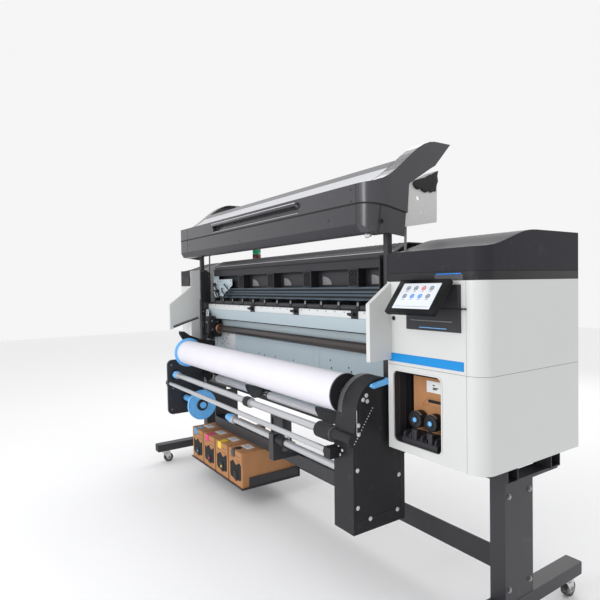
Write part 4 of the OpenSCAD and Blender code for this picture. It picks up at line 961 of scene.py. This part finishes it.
# A bright strip at the joint between the back sheets: the joint is real, and its bright colour is a painted
# highlight along its edge.
seam = block("back_sheet_seam_highlight", (0.220, sheet_front - 0.0010, 0.790),
    (0.2225, sheet_front + 0.0004, 0.925), 0.0003)
hand_in(seam, bright_tube)
marks = [disc("h", x, z, 0.0046, sheet_face(x), 0.0005, 16)
    for x, z in mm(-905, 905,  -885, 872,  -895, 842,  -860, 858,  -835, 880,  -812, 846,  -800, 905,
        310, 860,  450, 840,  620, 800,  220, 800,  -330, 820)]
head_profile = mm(0, 0.4,  -1.2, 2.2,  -0.8, 4,  0.6, 4.4,  0.6, 0.4)
heads = [turned("head", head_profile, (x, sheet_face(x), z), "Y", 14) for x, z in
         mm(-872, 836,  -845, 842,  -825, 862,  -850, 905,  520, 830,  150, 860)]
hand_in(join("back_sheet_holes", marks), deep_black)
hand_in(join("back_sheet_screws", heads), bright_tube)

# %% [markdown]
# ## Supply roll and its drive
# The paper's outer end shows as a faint step along the roll, and a black toothed ring stands at
# the roll's right end. The blue flange has a raised rim and ribs on the side of the paper, and a
# stepped hub outside.

# %% Paper end, end ring, flange rim and hub
roll_y, roll_z = -0.312, 0.800
wrap = [math.radians(a) for a in range(-178, -118, 6)]
paper_edge = [around(roll_y, roll_z, 0.0764, a) for a in wrap]
paper_edge += [around(roll_y, roll_z, 0.0757, a) for a in reversed(wrap)]
paper_end = bar("paper_end", paper_edge, roll.x0 + 0.002, roll.x1 - 0.002, "X")
hand_in(paper_end, paper_white, "supply_roll")
end_ring = turned("roll_end_ring", mm(0, 34,  0, 77.5,  2, 79,  6.8, 79,  8.6, 77.5,  8.6, 34),
                  (roll.x1 + 0.0004, roll_y, roll_z), "X", 72)
hand_in(end_ring, black_mould, "supply_roll")
end_teeth = rods_round("X", (roll_y, roll_z), 0.0788, roll.x1 + 0.0018, roll.x1 + 0.0078, 0.0014,
                       full_turn(56), sides=6)
hand_in(join("roll_end_teeth", end_teeth), grey_trim, "supply_roll")
rim_ring = turned("flange_rim", mm(0, 84.2,  0, 92.6,  3.5, 92.6,  4.8, 91.2,  4.8, 87.2,  2, 84.2),
    (-0.9006, roll_y, roll_z), "X", 72)
spokes = [rod("spoke", (-0.8996, *around(roll_y, roll_z, 0.0772, a)),
        (-0.8996, *around(roll_y, roll_z, 0.0850, a)), 0.0016, 8, 0) for a in full_turn(24)]
hand_in(join("flange_rim", [rim_ring] + spokes), blue_mould, "supply_roll")
hub = turned("flange_hub", mm(0.4, 20.2,  0.4, 88,  -1.2, 89,  -2.2, 70,  -8, 52,  -26, 46,  -30, 40,
        -30, 26,  -48, 24,  -50, 20.2), (-0.9092, roll_y, roll_z), "X", 48)
hand_in(hub, blue_mould, "supply_roll")

# %% [markdown]
# ## Drive housing
# The housing's end face has a raised panel, hexagon screws and a row of small bright studs that
# runs across it. Its outline follows the housing's own.

# %% Raised panel
cy, cz, cr = -0.238, 0.749, 0.122

def housing_edge(inset):
    """The housing's own outline, drawn in by inset."""
    r = cr - inset
    arc = [around(cy, cz, r, math.radians(6 + 6.0 * k)) for k in range(30)]
    return arc + [(cy - r, cz - 0.02), (-0.380 + inset, 0.632), (-0.380 + inset, 0.330 + inset),
                  (-0.122 - inset, 0.330 + inset), (-0.122 - inset, 0.60)]

raised = bar("housing_panel", housing_edge(0.012), housing.x1 - 0.016, housing.x1 - 0.0136, "X", 0.001)
raised = sink(raised, (1, 0, 0), 0.006, -0.0008)
hand_in(raised, black_mould)

# %% Studs and hexagon screws
end_x = 0.8514
stud_profile = mm(0, 0.4,  0, 2.7,  0.8, 2.2,  1, 0.4)
studs = [turned("stud", stud_profile, (end_x, -0.372 + 0.152 * t, 0.640 + 0.205 * t), "X", 8)
         for t in [k / 22 for k in range(14)]]
hand_in(join("housing_studs", studs), silver_trim)

def hexagon(x, y, z, r=0.0062, out=0.004):
    """A hexagon screw with its washer, which looks along X."""
    washer = turned("w", [(0, 0.0005), (0, r * 1.35), (0.0010, r * 1.35), (0.0012, 0.0005)], (x, y, z),
        "X", 28)
    head = turned("b", [(0.0008, 0.0005), (0.0008, r), (out * 0.85, r), (out, r * 0.8), (out, r * 0.3),
            (out * 0.7, 0.0005)], (x, y, z), "X", 6)
    return join("bolt", [washer, head])

bolts = [hexagon(end_x, y, z) for y, z in mm(-312, 812,  -328, 798,  -308, 790,  -352, 706,  -352, 672,
        -360, 540,  -360, 400,  -300, 345,  -160, 345,  -150, 480,  -150, 600,  -238, 846)]
front_bolt = mm(0, 0.5,  0, 5,  1.2, 6.2,  3, 6.2,  4, 0.5)
bolts += [turned("front_bolt", front_bolt, (x, -0.3830, z), "Y", 6)
    for x, z in mm(768, 612,  790, 604,  776, 584)]
hand_in(join("housing_bolts", bolts), silver_trim)
# A thin bright rod on the front rim of the end face is a painted highlight, where the edge catches the light.
painted_glint = rod("housing_edge_painted_highlight", (end_x - 0.0006, -0.3592, 0.672), (end_x - 0.0006, -0.3592, 0.762),
    0.0009, 8, 0)
hand_in(painted_glint, silver_trim)

# %% Toothed edge, bar clamp and the lever's thumb rest
tooth_angles = [math.radians(66 + 3.0 * k) for k in range(40)]
tooth_ring = rods_round("X", (cy, cz), 0.1222, 0.742, 0.766, 0.0017, tooth_angles, 6, 0.0004)
hand_in(join("housing_tooth_lines", tooth_ring), grey_trim)
clamp_cap = turned("bar_clamp_ring", mm(0.5, 12.2,  0.5, 17.8,  -6, 18.6,  -9, 17.2,  -9, 12.2),
    (0.735, -0.407, 0.594), "X", 36)
hand_in(clamp_cap, black_mould)
lever_box = Box("lock_lever")
thumb = bar("lever_thumb", mm(-214, 861.5,  -284, 839.5,  -291, 842.5,  -288, 847.5,  -216, 869.5),
            lever_box.x1 - 0.0005, lever_box.x1 + 0.0035, "X", 0.0012)
pivot_cap = turned("lever_cap", mm(0, 7.2,  0, 12.2,  4, 11.6,  5.2, 9.6,  5.2, 7.2),
                   (lever_box.x1 - 0.0004, -0.210, 0.855), "X", 32)
hand_in(join("lever_thumb", [thumb, pivot_cap]), blue_mould, "lever")

# %% [markdown]
# ## Rollers, collars and the take-up
# The bars in front of the roll carry blue and black moulded collars. Each collar is a turned
# sleeve round its bar, a little larger than the measured one.

# %% Upper roller
upper = (-0.375, 0.652)

def sleeve(name, x, profile, at, body, finish, steps=44):
    """A turned sleeve that starts at x, round a bar at (y, z)."""
    return hand_in(turned(name, profile, (x, at[0], at[1]), "X", steps), finish, body)

sleeve("upper_blue_collar", -0.9655, mm(0, 11.8,  0, 21.6,  3, 23.8,  18, 24.2,  20, 22.8,  22, 24.2,
        38, 24,  41.5, 22.2,  41.5, 16.5), upper, "upper_roller", blue_mould)
sleeve("upper_pale_knob", -0.9840, mm(0, 12.2,  0, 17.2,  3, 18.8,  13, 18.8,  16, 17.2,  16, 12.2),
       upper, "upper_roller", white_paint)
sleeve("upper_end_ring", -0.9235, mm(0, 16.3,  0, 19.6,  6, 20.6,  10, 19.6,  14, 20.6,  16, 16.3),
       upper, "upper_roller", bright_tube)
sleeve("upper_joint_clamp", 0.0196, mm(0, 23.2,  0, 25,  4, 25.6,  14, 25.6,  16, 24,  18, 25.6,  34, 25.6,
        37, 24,  39, 25.6,  47, 25.4,  50.8, 23.6,  50.8, 23.2), upper, "upper_roller", black_mould)
ribbed = mm(0, 16.5,  0, 30.8,  1.4, 32.2)
for k in range(9):
    x = 0.006 + 0.0095 * k
    ribbed += [(x, 0.0322), (x + 0.0012, 0.0312), (x + 0.0024, 0.0322)]
ribbed += mm(92.5, 32.2,  94.2, 31,  94.2, 30.4,  2, 30.4,  2, 16.5)
sleeve("upper_ribbed_end", 0.6390, ribbed, upper, "upper_roller", black_mould)
sleeve("upper_ribbed_collar", 0.6290, mm(0, 16.3,  0, 23.6,  2.5, 24.6,  8.5, 24.6,  9.8, 16.3),
       upper, "upper_roller", steel)

# %% Take-up core and disc
core = (-0.300, 0.487)
sleeve("core_blue_cap", -0.3502, mm(0, 12.2,  0, 16.8,  3, 18.6,  26, 18.6,  29, 21.2,  33, 22.6,
        50, 22.6,  52, 23.8,  66, 23.8,  70.5, 22.6), core, "takeup_right", blue_mould)
fin_angles = [math.radians(30 * k) for k in range(12)]
fins = rods_round("X", core, 0.0226, -0.316, -0.284, 0.0018, fin_angles, 8, 0.0004)
hand_in(join("core_cap_fins", fins), blue_mould, "takeup_right")
sleeve("core_end_collar", -0.2765, mm(0, 22.2,  0, 23.6,  4, 24.4,  12, 24.4,  16.8, 22.2),
       core, "takeup_right", bright_tube)
sleeve("core_joiner", 0.1915, mm(0, 16.2,  0, 20.6,  3, 22.2,  34, 22.2,  36, 20.4,  40, 22.2,  70, 22.2,
        74, 20.6,  74, 16.2), core, "takeup_right", black_mould)
disc_hub = turned("takeup_disc_hub", mm(0.2, 20.2,  0.2, 34,  2.8, 36,  3.4, 30,  10, 27,  12, 24.5,
        12, 20.2), (-0.716, core[0], core[1]), "X", 40)
hand_in(disc_hub, black_mould, "takeup_left")
blade = ((0.040, 0.0), (0.056, 0.10), (0.072, 0.26), (0.084, 0.44), (0.086, 0.40), (0.074, 0.20),
         (0.058, 0.03), (0.042, -0.07))
swirl = [bar("blade", [around(*core, r, a + d) for r, d in blade], -0.7163, -0.7143, "X", 0.0005)
         for a in [math.radians(60 * k + 18) for k in range(6)]]
hand_in(join("takeup_disc_ribs", swirl), blue_mould, "takeup_left")
disc_rim = turned("takeup_disc_rim", mm(0, 86.6,  0, 92.6,  2.6, 92.6,  3.4, 90,  2.4, 86.6),
                  (-0.7163, core[0], core[1]), "X", 72)
hand_in(disc_rim, blue_mould, "takeup_left")

# %% End of the front bar and bearings in the left plate
sleeve("front_bar_knob", -1.0300, mm(0.4, 0.5,  0, 12,  3, 16.5,  12, 17.2,  13.6, 15.8,  13.6, 12.2),
       (-0.407, 0.594), "frame", black_mould)
for k, (y, z, r) in enumerate(((upper[0], upper[1], 0.0225), (core[0], core[1], 0.030),
        (roll_y, roll_z, 0.030)), 1):
    sleeve("plate_bearing_%d" % k, plate.x1 - 0.0004, [(0, r - 0.006), (0, r + 0.006), (0.0032, r + 0.006),
            (0.0052, r + 0.003), (0.0052, r - 0.004)], (y, z), "frame", black_mould, 36)
plate_bolts = [hexagon(plate.x1 - 0.0003, y, z, 0.005, 0.0034)
    for y, z in mm(-400, 715,  -200, 715,  -400, 420,  -200, 420,  -390, 560,  -205, 560)]
hand_in(join("plate_bolts", plate_bolts), steel)

# %% [markdown]
# ## Guides under the roll
# Curved black guides stand between the grey guide rollers, under the roll. Each roller length
# has a dark end ring. A short post with a sunk face stands on the take-up beam.

# %% Curved guides, end rings and post
def curved_guide(x0, x1, sag, top=0.652):
    """A plate whose lower edge hangs down by sag in its middle."""
    low = [(x0 + (x1 - x0) * k / 14, top - 0.016 - sag * math.sin(math.pi * k / 14) ** 0.8)
        for k in range(15)]
    return bar("guide", [(x0, top), (x1, top)] + list(reversed(low)), -0.176, -0.158, "Y", 0.0015)

guide_spans = mm(-372, -178, 46,  -968, -858, 40,  328, 520, 46, each=3)
guides = [curved_guide(*span) for span in guide_spans]
guides += [block("web", (x0 + 0.012, -0.160, 0.634), (x1 - 0.012, -0.069, 0.640), 0.001)
           for x0, x1, sag in guide_spans]
hand_in(join("curved_guides", guides), black_mould)
ring_profile = mm(0, 8.2,  0, 23.2,  2, 24.4,  6, 24.4,  8, 23.2,  8, 22.2,  2, 22.2,  2, 8.2)
rings = [turned("ring", facing(way, ring_profile), (x, -0.130, 0.615), "X", 36)
         for x, way in ((-0.852, 1), (-0.172, 1), (-0.378, -1), (0.322, -1))]
hand_in(join("guide_roller_rings", rings), black_mould, "guide_rollers")
stay_outline = mm(-20, 676,  4, 676,  10, 650,  30, 628.5,  26, 623.5,  2, 642,  -6, 664,  -20, 668)
stay = [bar("stay", [(x + dx, z) for dx, z in stay_outline], -0.158, -0.154, "Y", 0.0005)
        for x in (-0.876, -0.392)]
hand_in(join("guide_stays", stay), zinc)
post = sink(block("takeup_post", (-0.095, -0.172, 0.3857), (0.035, -0.118, 0.535), 0.003), (0, -1, 0),
    0.012, -0.006)
hand_in(post, black_paint)
post_plate = block("takeup_post_plate", (0.0352, -0.166, 0.392), (0.062, -0.150, 0.470), 0.002)
hand_in(post_plate, zinc)

# %% Dark shields beside the lift posts
shield_outline = mm(-176, 1341,  -130, 1341,  -122, 1330,  -105, 1318,  -105, 1236,  -112, 1228,
    -112, 1196,  -105, 1190,  -105, 1070,  -118, 1052,  -140, 1040,  -176, 1034)
for number, (x0, x1) in enumerate(((-0.9885, -0.9855), (0.7805, 0.7835)), 1):
    shield = bar("shield", shield_outline, x0, x1, "X", 0.0006)
    edge = block("edge", (x0 - 0.0002, -0.1762, 1.036), (x1 + 0.0040, -0.1735, 1.339), 0.0008)
    marks = [block("m", (x1 - 0.0005, y, z), (x1 + 0.0022, y + 0.010, z + h), 0.0008) for y, z, h in
             mm(-160, 1285, 40,  -142, 1250, 60,  -128, 1170, 50,  -160, 1120, 70,  -142, 1075, 30, each=3)]
    hand_in(join("lift_shield_%d" % number, [shield, edge] + marks), black_mould)
    pins = [rod("p", (x1 - 0.0004, y, z), (x1 + 0.0024, y, z), 0.0036, 16)
        for y, z in mm(-164, 1334,  -118, 1300,  -164, 1060,  -120, 1100)]
    hand_in(join("lift_shield_pins_%d" % number, pins), steel)

# %% Left cheek: toothed slot and arm
teeth_outline = []
ya, za, yb, zb = -0.345, 0.957, -0.165, 1.010
teeth = 22
for k in range(teeth):
    a, b = k / teeth, (k + 0.5) / teeth
    for t, lift in ((a, 0.0), (a, 0.009), (b, 0.009), (b, 0.0)):
        teeth_outline.append((ya + (yb - ya) * t, za + (zb - za) * t + 0.004 + lift))
teeth_outline += [(yb, zb + 0.004), (yb, zb - 0.003), (ya, za - 0.003)]
rack_strip = bar("cheek_toothed_slot", teeth_outline, gap_l - 0.0006, gap_l + 0.0014, "X")
hand_in(rack_strip, deep_black)
arm = bar("cheek_arm", mm(-338, 934,  -300, 930,  -262, 902,  -180, 868,  -84, 852,  -66, 852,  -66, 800,
        -100, 800,  -190, 812,  -262, 836,  -312, 874,  -336, 912), -0.9968, -0.9905, "X", 0.0015)
hand_in(arm, black_mould)

# %% [markdown]
# ## Ink cartons in the stand
# Four cartons stand side by side. Each has a patch in its ink's colour, a plain white label, a
# cut cardboard front with a wavy edge and a black connector. Patches ride on their carton.

# %% Cartons
for number, name in enumerate(("cyan", "magenta", "yellow", "black"), 1):
    body, own = "carton_%d" % number, Box("ink_carton_%d" % number)
    x0, y0, top = own.x0, own.y0 + 0.004, own.z1
    patch = turned("ink_patch_%d" % number, mm(-0.4, 0.4,  -0.4, 23,  0.7, 22.6,  0.8, 0.4),
                   (x0 + 0.060, y0 + 0.030, top), "Z", 26)
    tab = bar("tab", round_outline(x0 + 0.036, x0 + 0.084, top - 0.040, top + 0.0004, 0.012), y0 - 0.0046,
        y0 + 0.004, "Y", 0.0006)
    hand_in(join("ink_patch_%d" % number, [patch, tab]), ink_tones[name], body)
    paper = block("ink_label_%d" % number, (x0 + 0.030, y0 + 0.062, top - 0.0004),
        (x0 + 0.112, y0 + 0.112, top + 0.0006), 0.0002)
    lines = [block("l", (x0 + 0.040, y0 + 0.072 + 0.012 * k, top + 0.0004),
            (x0 + 0.100 - 0.012 * k, y0 + 0.0745 + 0.012 * k, top + 0.0009), 0.0002) for k in range(3)]
    hand_in(paper, ink_tones["label"], body)
    hand_in(join("ink_label_lines_%d" % number, lines), ink_tones["black"], body)
    well = bar("carton_well_%d" % number, round_outline(x0 + 0.016, x0 + 0.149, 0.146, 0.252, 0.02),
        y0 - 0.0010, y0 + 0.0004, "Y")
    hand_in(well, deep_black, body)
    wave = [(x0 + 0.004 + 0.157 * k / 36, 0.238 + 0.009 * math.sin(k * 0.36 + number * 0.9))
        for k in range(37)]
    flap = bar("carton_front_%d" % number, wave + [(x0 + 0.161, top - 0.003), (x0 + 0.004, top - 0.003)],
        y0 - 0.0026, y0 + 0.0004, "Y", 0.0005)
    hand_in(flap, board, body)
    # Dark lines along the cardboard's folds are painted shade in the creases.
    crease_shades = [block("f", (x0 + a, y0 - 0.0034, z), (x0 + b, y0 - 0.0022, z + 0.0016), 0.0003) for a, b, z in
             mm(12, 52, 287,  78, 150, 278,  20, 70, 262,  95, 155, 256, each=3)]
    hand_in(join("carton_folds_%d" % number, crease_shades), deep_black, body)
    connector("carton_connector_%d" % number, x0 + 0.0825, own.y0, 0.168, 0.024, body, ink_tones[name])

# %% [markdown]
# ## Beacon and covers at the left
# The signal lamp has a dark red foot under its green lens, with fine upright ribs. A dark box
# cover closes the left cabinet's inner corner.

# %% Beacon
bx, by = -0.630, 0.063
foot = turned("beacon_foot", mm(1397.4, 18,  1397.4, 26.8,  1399, 27.4,  1411, 27.4,  1411.8, 26.4,
        1413, 26.4,  1413.8, 27.4,  1429, 27.4,  1430, 26.1,  1417.4, 26.1,  1417.4, 18), (bx, by, 0),
    "Z", 48)
hand_in(foot, beacon_red)
lens_ribs = rods_round("Z", (bx, by), 0.0253, 1.4445, 1.4700, 0.0011, full_turn(36), sides=6)
hand_in(join("beacon_lens_ribs", lens_ribs), beacon_green)
lid = turned("beacon_lid", mm(1474.8, 0.4,  1474.8, 24,  1476.4, 23.5,  1477.2, 20,  1477.2, 0.4),
    (bx, by, 0), "Z", 48)
hand_in(lid, beacon_green)

# %% Dark box cover at the left cabinet
side_box = sink(block("left_box_cover", (gap_l - 0.160, front - 0.0060, 1.2350),
        (gap_l - 0.006, front + 0.001, 1.3010), 0.006, 3), (0, -1, 0), 0.008, -0.0015)
hand_in(side_box, black_mould)
left_joint = band("left_cabinet_joint", gap_l - 0.200, gap_l - 0.0605, left_cab.y0, left_cab.y0 + 0.061,
    1.150, 1.1514, 0.06, 0.0003, 0.001)
hand_in(left_joint, grey_trim)

# %% [markdown]
# ## Stand, castors and the back
# End caps close the foot bars, and hexagon screws hold the columns. Each castor has a hub disc
# on both sides of its wheel, which turns with it, and a bearing cap that swivels with its fork.

# %% Foot-bar caps and column screws
foot_bars = Box("foot_bars")
caps = []
for x in (-1.228, 1.228):
    for y, way in ((foot_bars.y0, -1), (foot_bars.y1, 1)):
        cap = bar("cap", round_outline(x - 0.0306, x + 0.0306, foot_bars.z0 + 0.0006,
                foot_bars.z1 - 0.0006, 0.005), y - 0.0005 * way, y + 0.0028 * way, "Y", 0.0009)
        caps.append(sink(cap, (0, way, 0), 0.005, -0.0008))
hand_in(join("foot_bar_caps", caps), black_mould)
stand = Box("stand_frame")
bolt_profile = mm(0, 0.5,  0, 11,  1.2, 11,  1.2, 7.8,  5.5, 7.8,  6.5, 6,  6.5, 0.5)
bolts = [turned("b", facing(way, bolt_profile), (x, y, z), "X", 6)
         for x, way in ((stand.x0, -1), (stand.x1, 1))
         for y, z in mm(-40, 180,  80, 180,  -40, 500,  80, 500)]
hand_in(join("column_bolts", bolts), steel)

# %% Castor hubs and bearings
spots = mm(-1228, -366,  -1228, 366,  1228, -366,  1228, 366)
axle_y, axle_z = 0.018, 0.030    # from the castor's swivel line and from the floor
hub_profile = mm(12.4, 7.2,  12.4, 20.5,  13.3, 21,  13.8, 19,  13.4, 11,  14, 9.5,  14, 7.2)
hole_profile = mm(13.1, 0.3,  13.1, 1.8,  13.9, 1.5,  13.9, 0.3)
cap_profile = mm(59, 6,  59, 18.5,  61.5, 21.5,  63.8, 21.5,  63.8, 6)
nut_profile = mm(18.2, 0.5,  18.2, 9.5,  21.2, 9.5,  22.2, 7,  22.2, 0.5)

def hub_pair():
    """A disc with five holes on each side of a wheel."""
    faces = []
    for way in (-1, 1):
        faces.append(turned("hub", facing(way, hub_profile), (0, axle_y, axle_z), "X", 36))
        faces += [turned("hole", facing(way, hole_profile), (0, *around(axle_y, axle_z, 0.0150, a)), "X", 10)
                  for a in full_turn(5)]
    return join("hub", faces)

def bearing():
    """The cap over the swivel's bearing and the nuts of the axle."""
    parts = [turned("cap", cap_profile, (0, 0, 0), "Z", 36)]
    parts += [turned("nut", facing(way, nut_profile), (0, axle_y, axle_z), "X", 6) for way in (-1, 1)]
    return join("bearing", parts)

one_hub, one_bearing = hub_pair(), bearing()
for number, (x, y) in enumerate(spots, 1):
    hand_in(copy_at(one_hub, (x, y, 0), "castor_hub_%d" % number), grey_trim, "wheel_%d" % number)
    hand_in(copy_at(one_bearing, (x, y, 0), "castor_bearing_%d" % number), steel, "swivel_%d" % number)
bpy.data.objects.remove(one_hub)
bpy.data.objects.remove(one_bearing)

# %% Rear sheets, inlet and side screws
rear = Box("rear_panel")
inlet_x, inlet_z = gap_r - 0.140, 0.608 + 0.085
shell = sink(bar("inlet", round_outline(inlet_x - 0.0235, inlet_x + 0.0235, inlet_z - 0.0175,
            inlet_z + 0.0175, 0.004), rear.y1 - 0.0035, rear.y1 - 0.0009, "Y", 0.0008), (0, 1, 0), 0.004,
    -0.0015)
hand_in(shell, black_mould)
prongs = [block("prong", (inlet_x + dx - 0.0015, rear.y1 - 0.0030, inlet_z + dz - 0.0035),
        (inlet_x + dx + 0.0015, rear.y1 - 0.0004, inlet_z + dz + 0.0035), 0.0005)
    for dx, dz in mm(-11, -4,  11, -4,  0, 6)]
hand_in(join("inlet_pins", prongs), steel)
seam_strips = [block("s", (x - 0.0010, 0.3255, 0.64), (x + 0.0010, 0.3268, 1.34), 0.0003)
    for x in (-0.62, -0.10, 0.42)]
hand_in(join("rear_seams", seam_strips), deep_black)
rear_screws = [turned("r", mm(-0.5, 0.4,  -0.5, 4.6,  1, 4.4,  1.6, 3,  0.8, 0.4), (x, 0.326, z), "Y", 16)
               for x in (-1.04, -0.64, -0.60, -0.12, -0.08, 0.40, 0.44, 0.84) for z in (0.66, 0.98, 1.32)]
hand_in(join("rear_screws", rear_screws), steel)

# %% [markdown]
# ## Floor and light
# The machine stands on a plain pale floor in a white studio. A large soft lamp above and ahead
# gives the broad highlights, a tall strip ahead of the right end lights the hood and the covers,
# and a third lamp stands behind the machine.

# %% Floor, world and lamps
deselect()
bpy.ops.mesh.primitive_plane_add(size=24, location=(0, 0, 0))
floor = bpy.context.object
floor.name = "floor"
floor_paint = grained("pale floor", (246, 246, 247), (242, 242, 244), 0.75, change=0.3, scale=90)
floor.data.materials.append(floor_paint)

world = bpy.data.worlds.new("studio")
world.use_nodes = True
sky = world.node_tree.nodes["Background"].inputs
sky["Color"].default_value, sky["Strength"].default_value = (1, 1, 1, 1), 0.92
bpy.context.scene.world = world
bpy.context.scene.view_settings.view_transform = "Standard"

def lamp(name, place, target, size, power, tall=None):
    """An area lamp at a place, aimed at a target."""
    data = bpy.data.lights.new(name, "AREA")
    data.size, data.energy = size, power
    if tall:
        data.shape, data.size_y = "RECTANGLE", tall
    thing = bpy.data.objects.new(name, data)
    bpy.context.scene.collection.objects.link(thing)
    thing.location = place
    thing.rotation_euler = (Vector(target) - Vector(place)).to_track_quat("-Z", "Y").to_euler()

lamp("key", (0.2, -4.0, 3.4), (0, 0, 0.9), 3.0, 35)
lamp("front strip", (0.74, -3.6, 1.7), (0.8, -0.2, 1.2), 0.8, 34, tall=2.2)
lamp("back", (-2.0, 3.4, 3.2), (0, 0, 1.2), 3.0, 50)
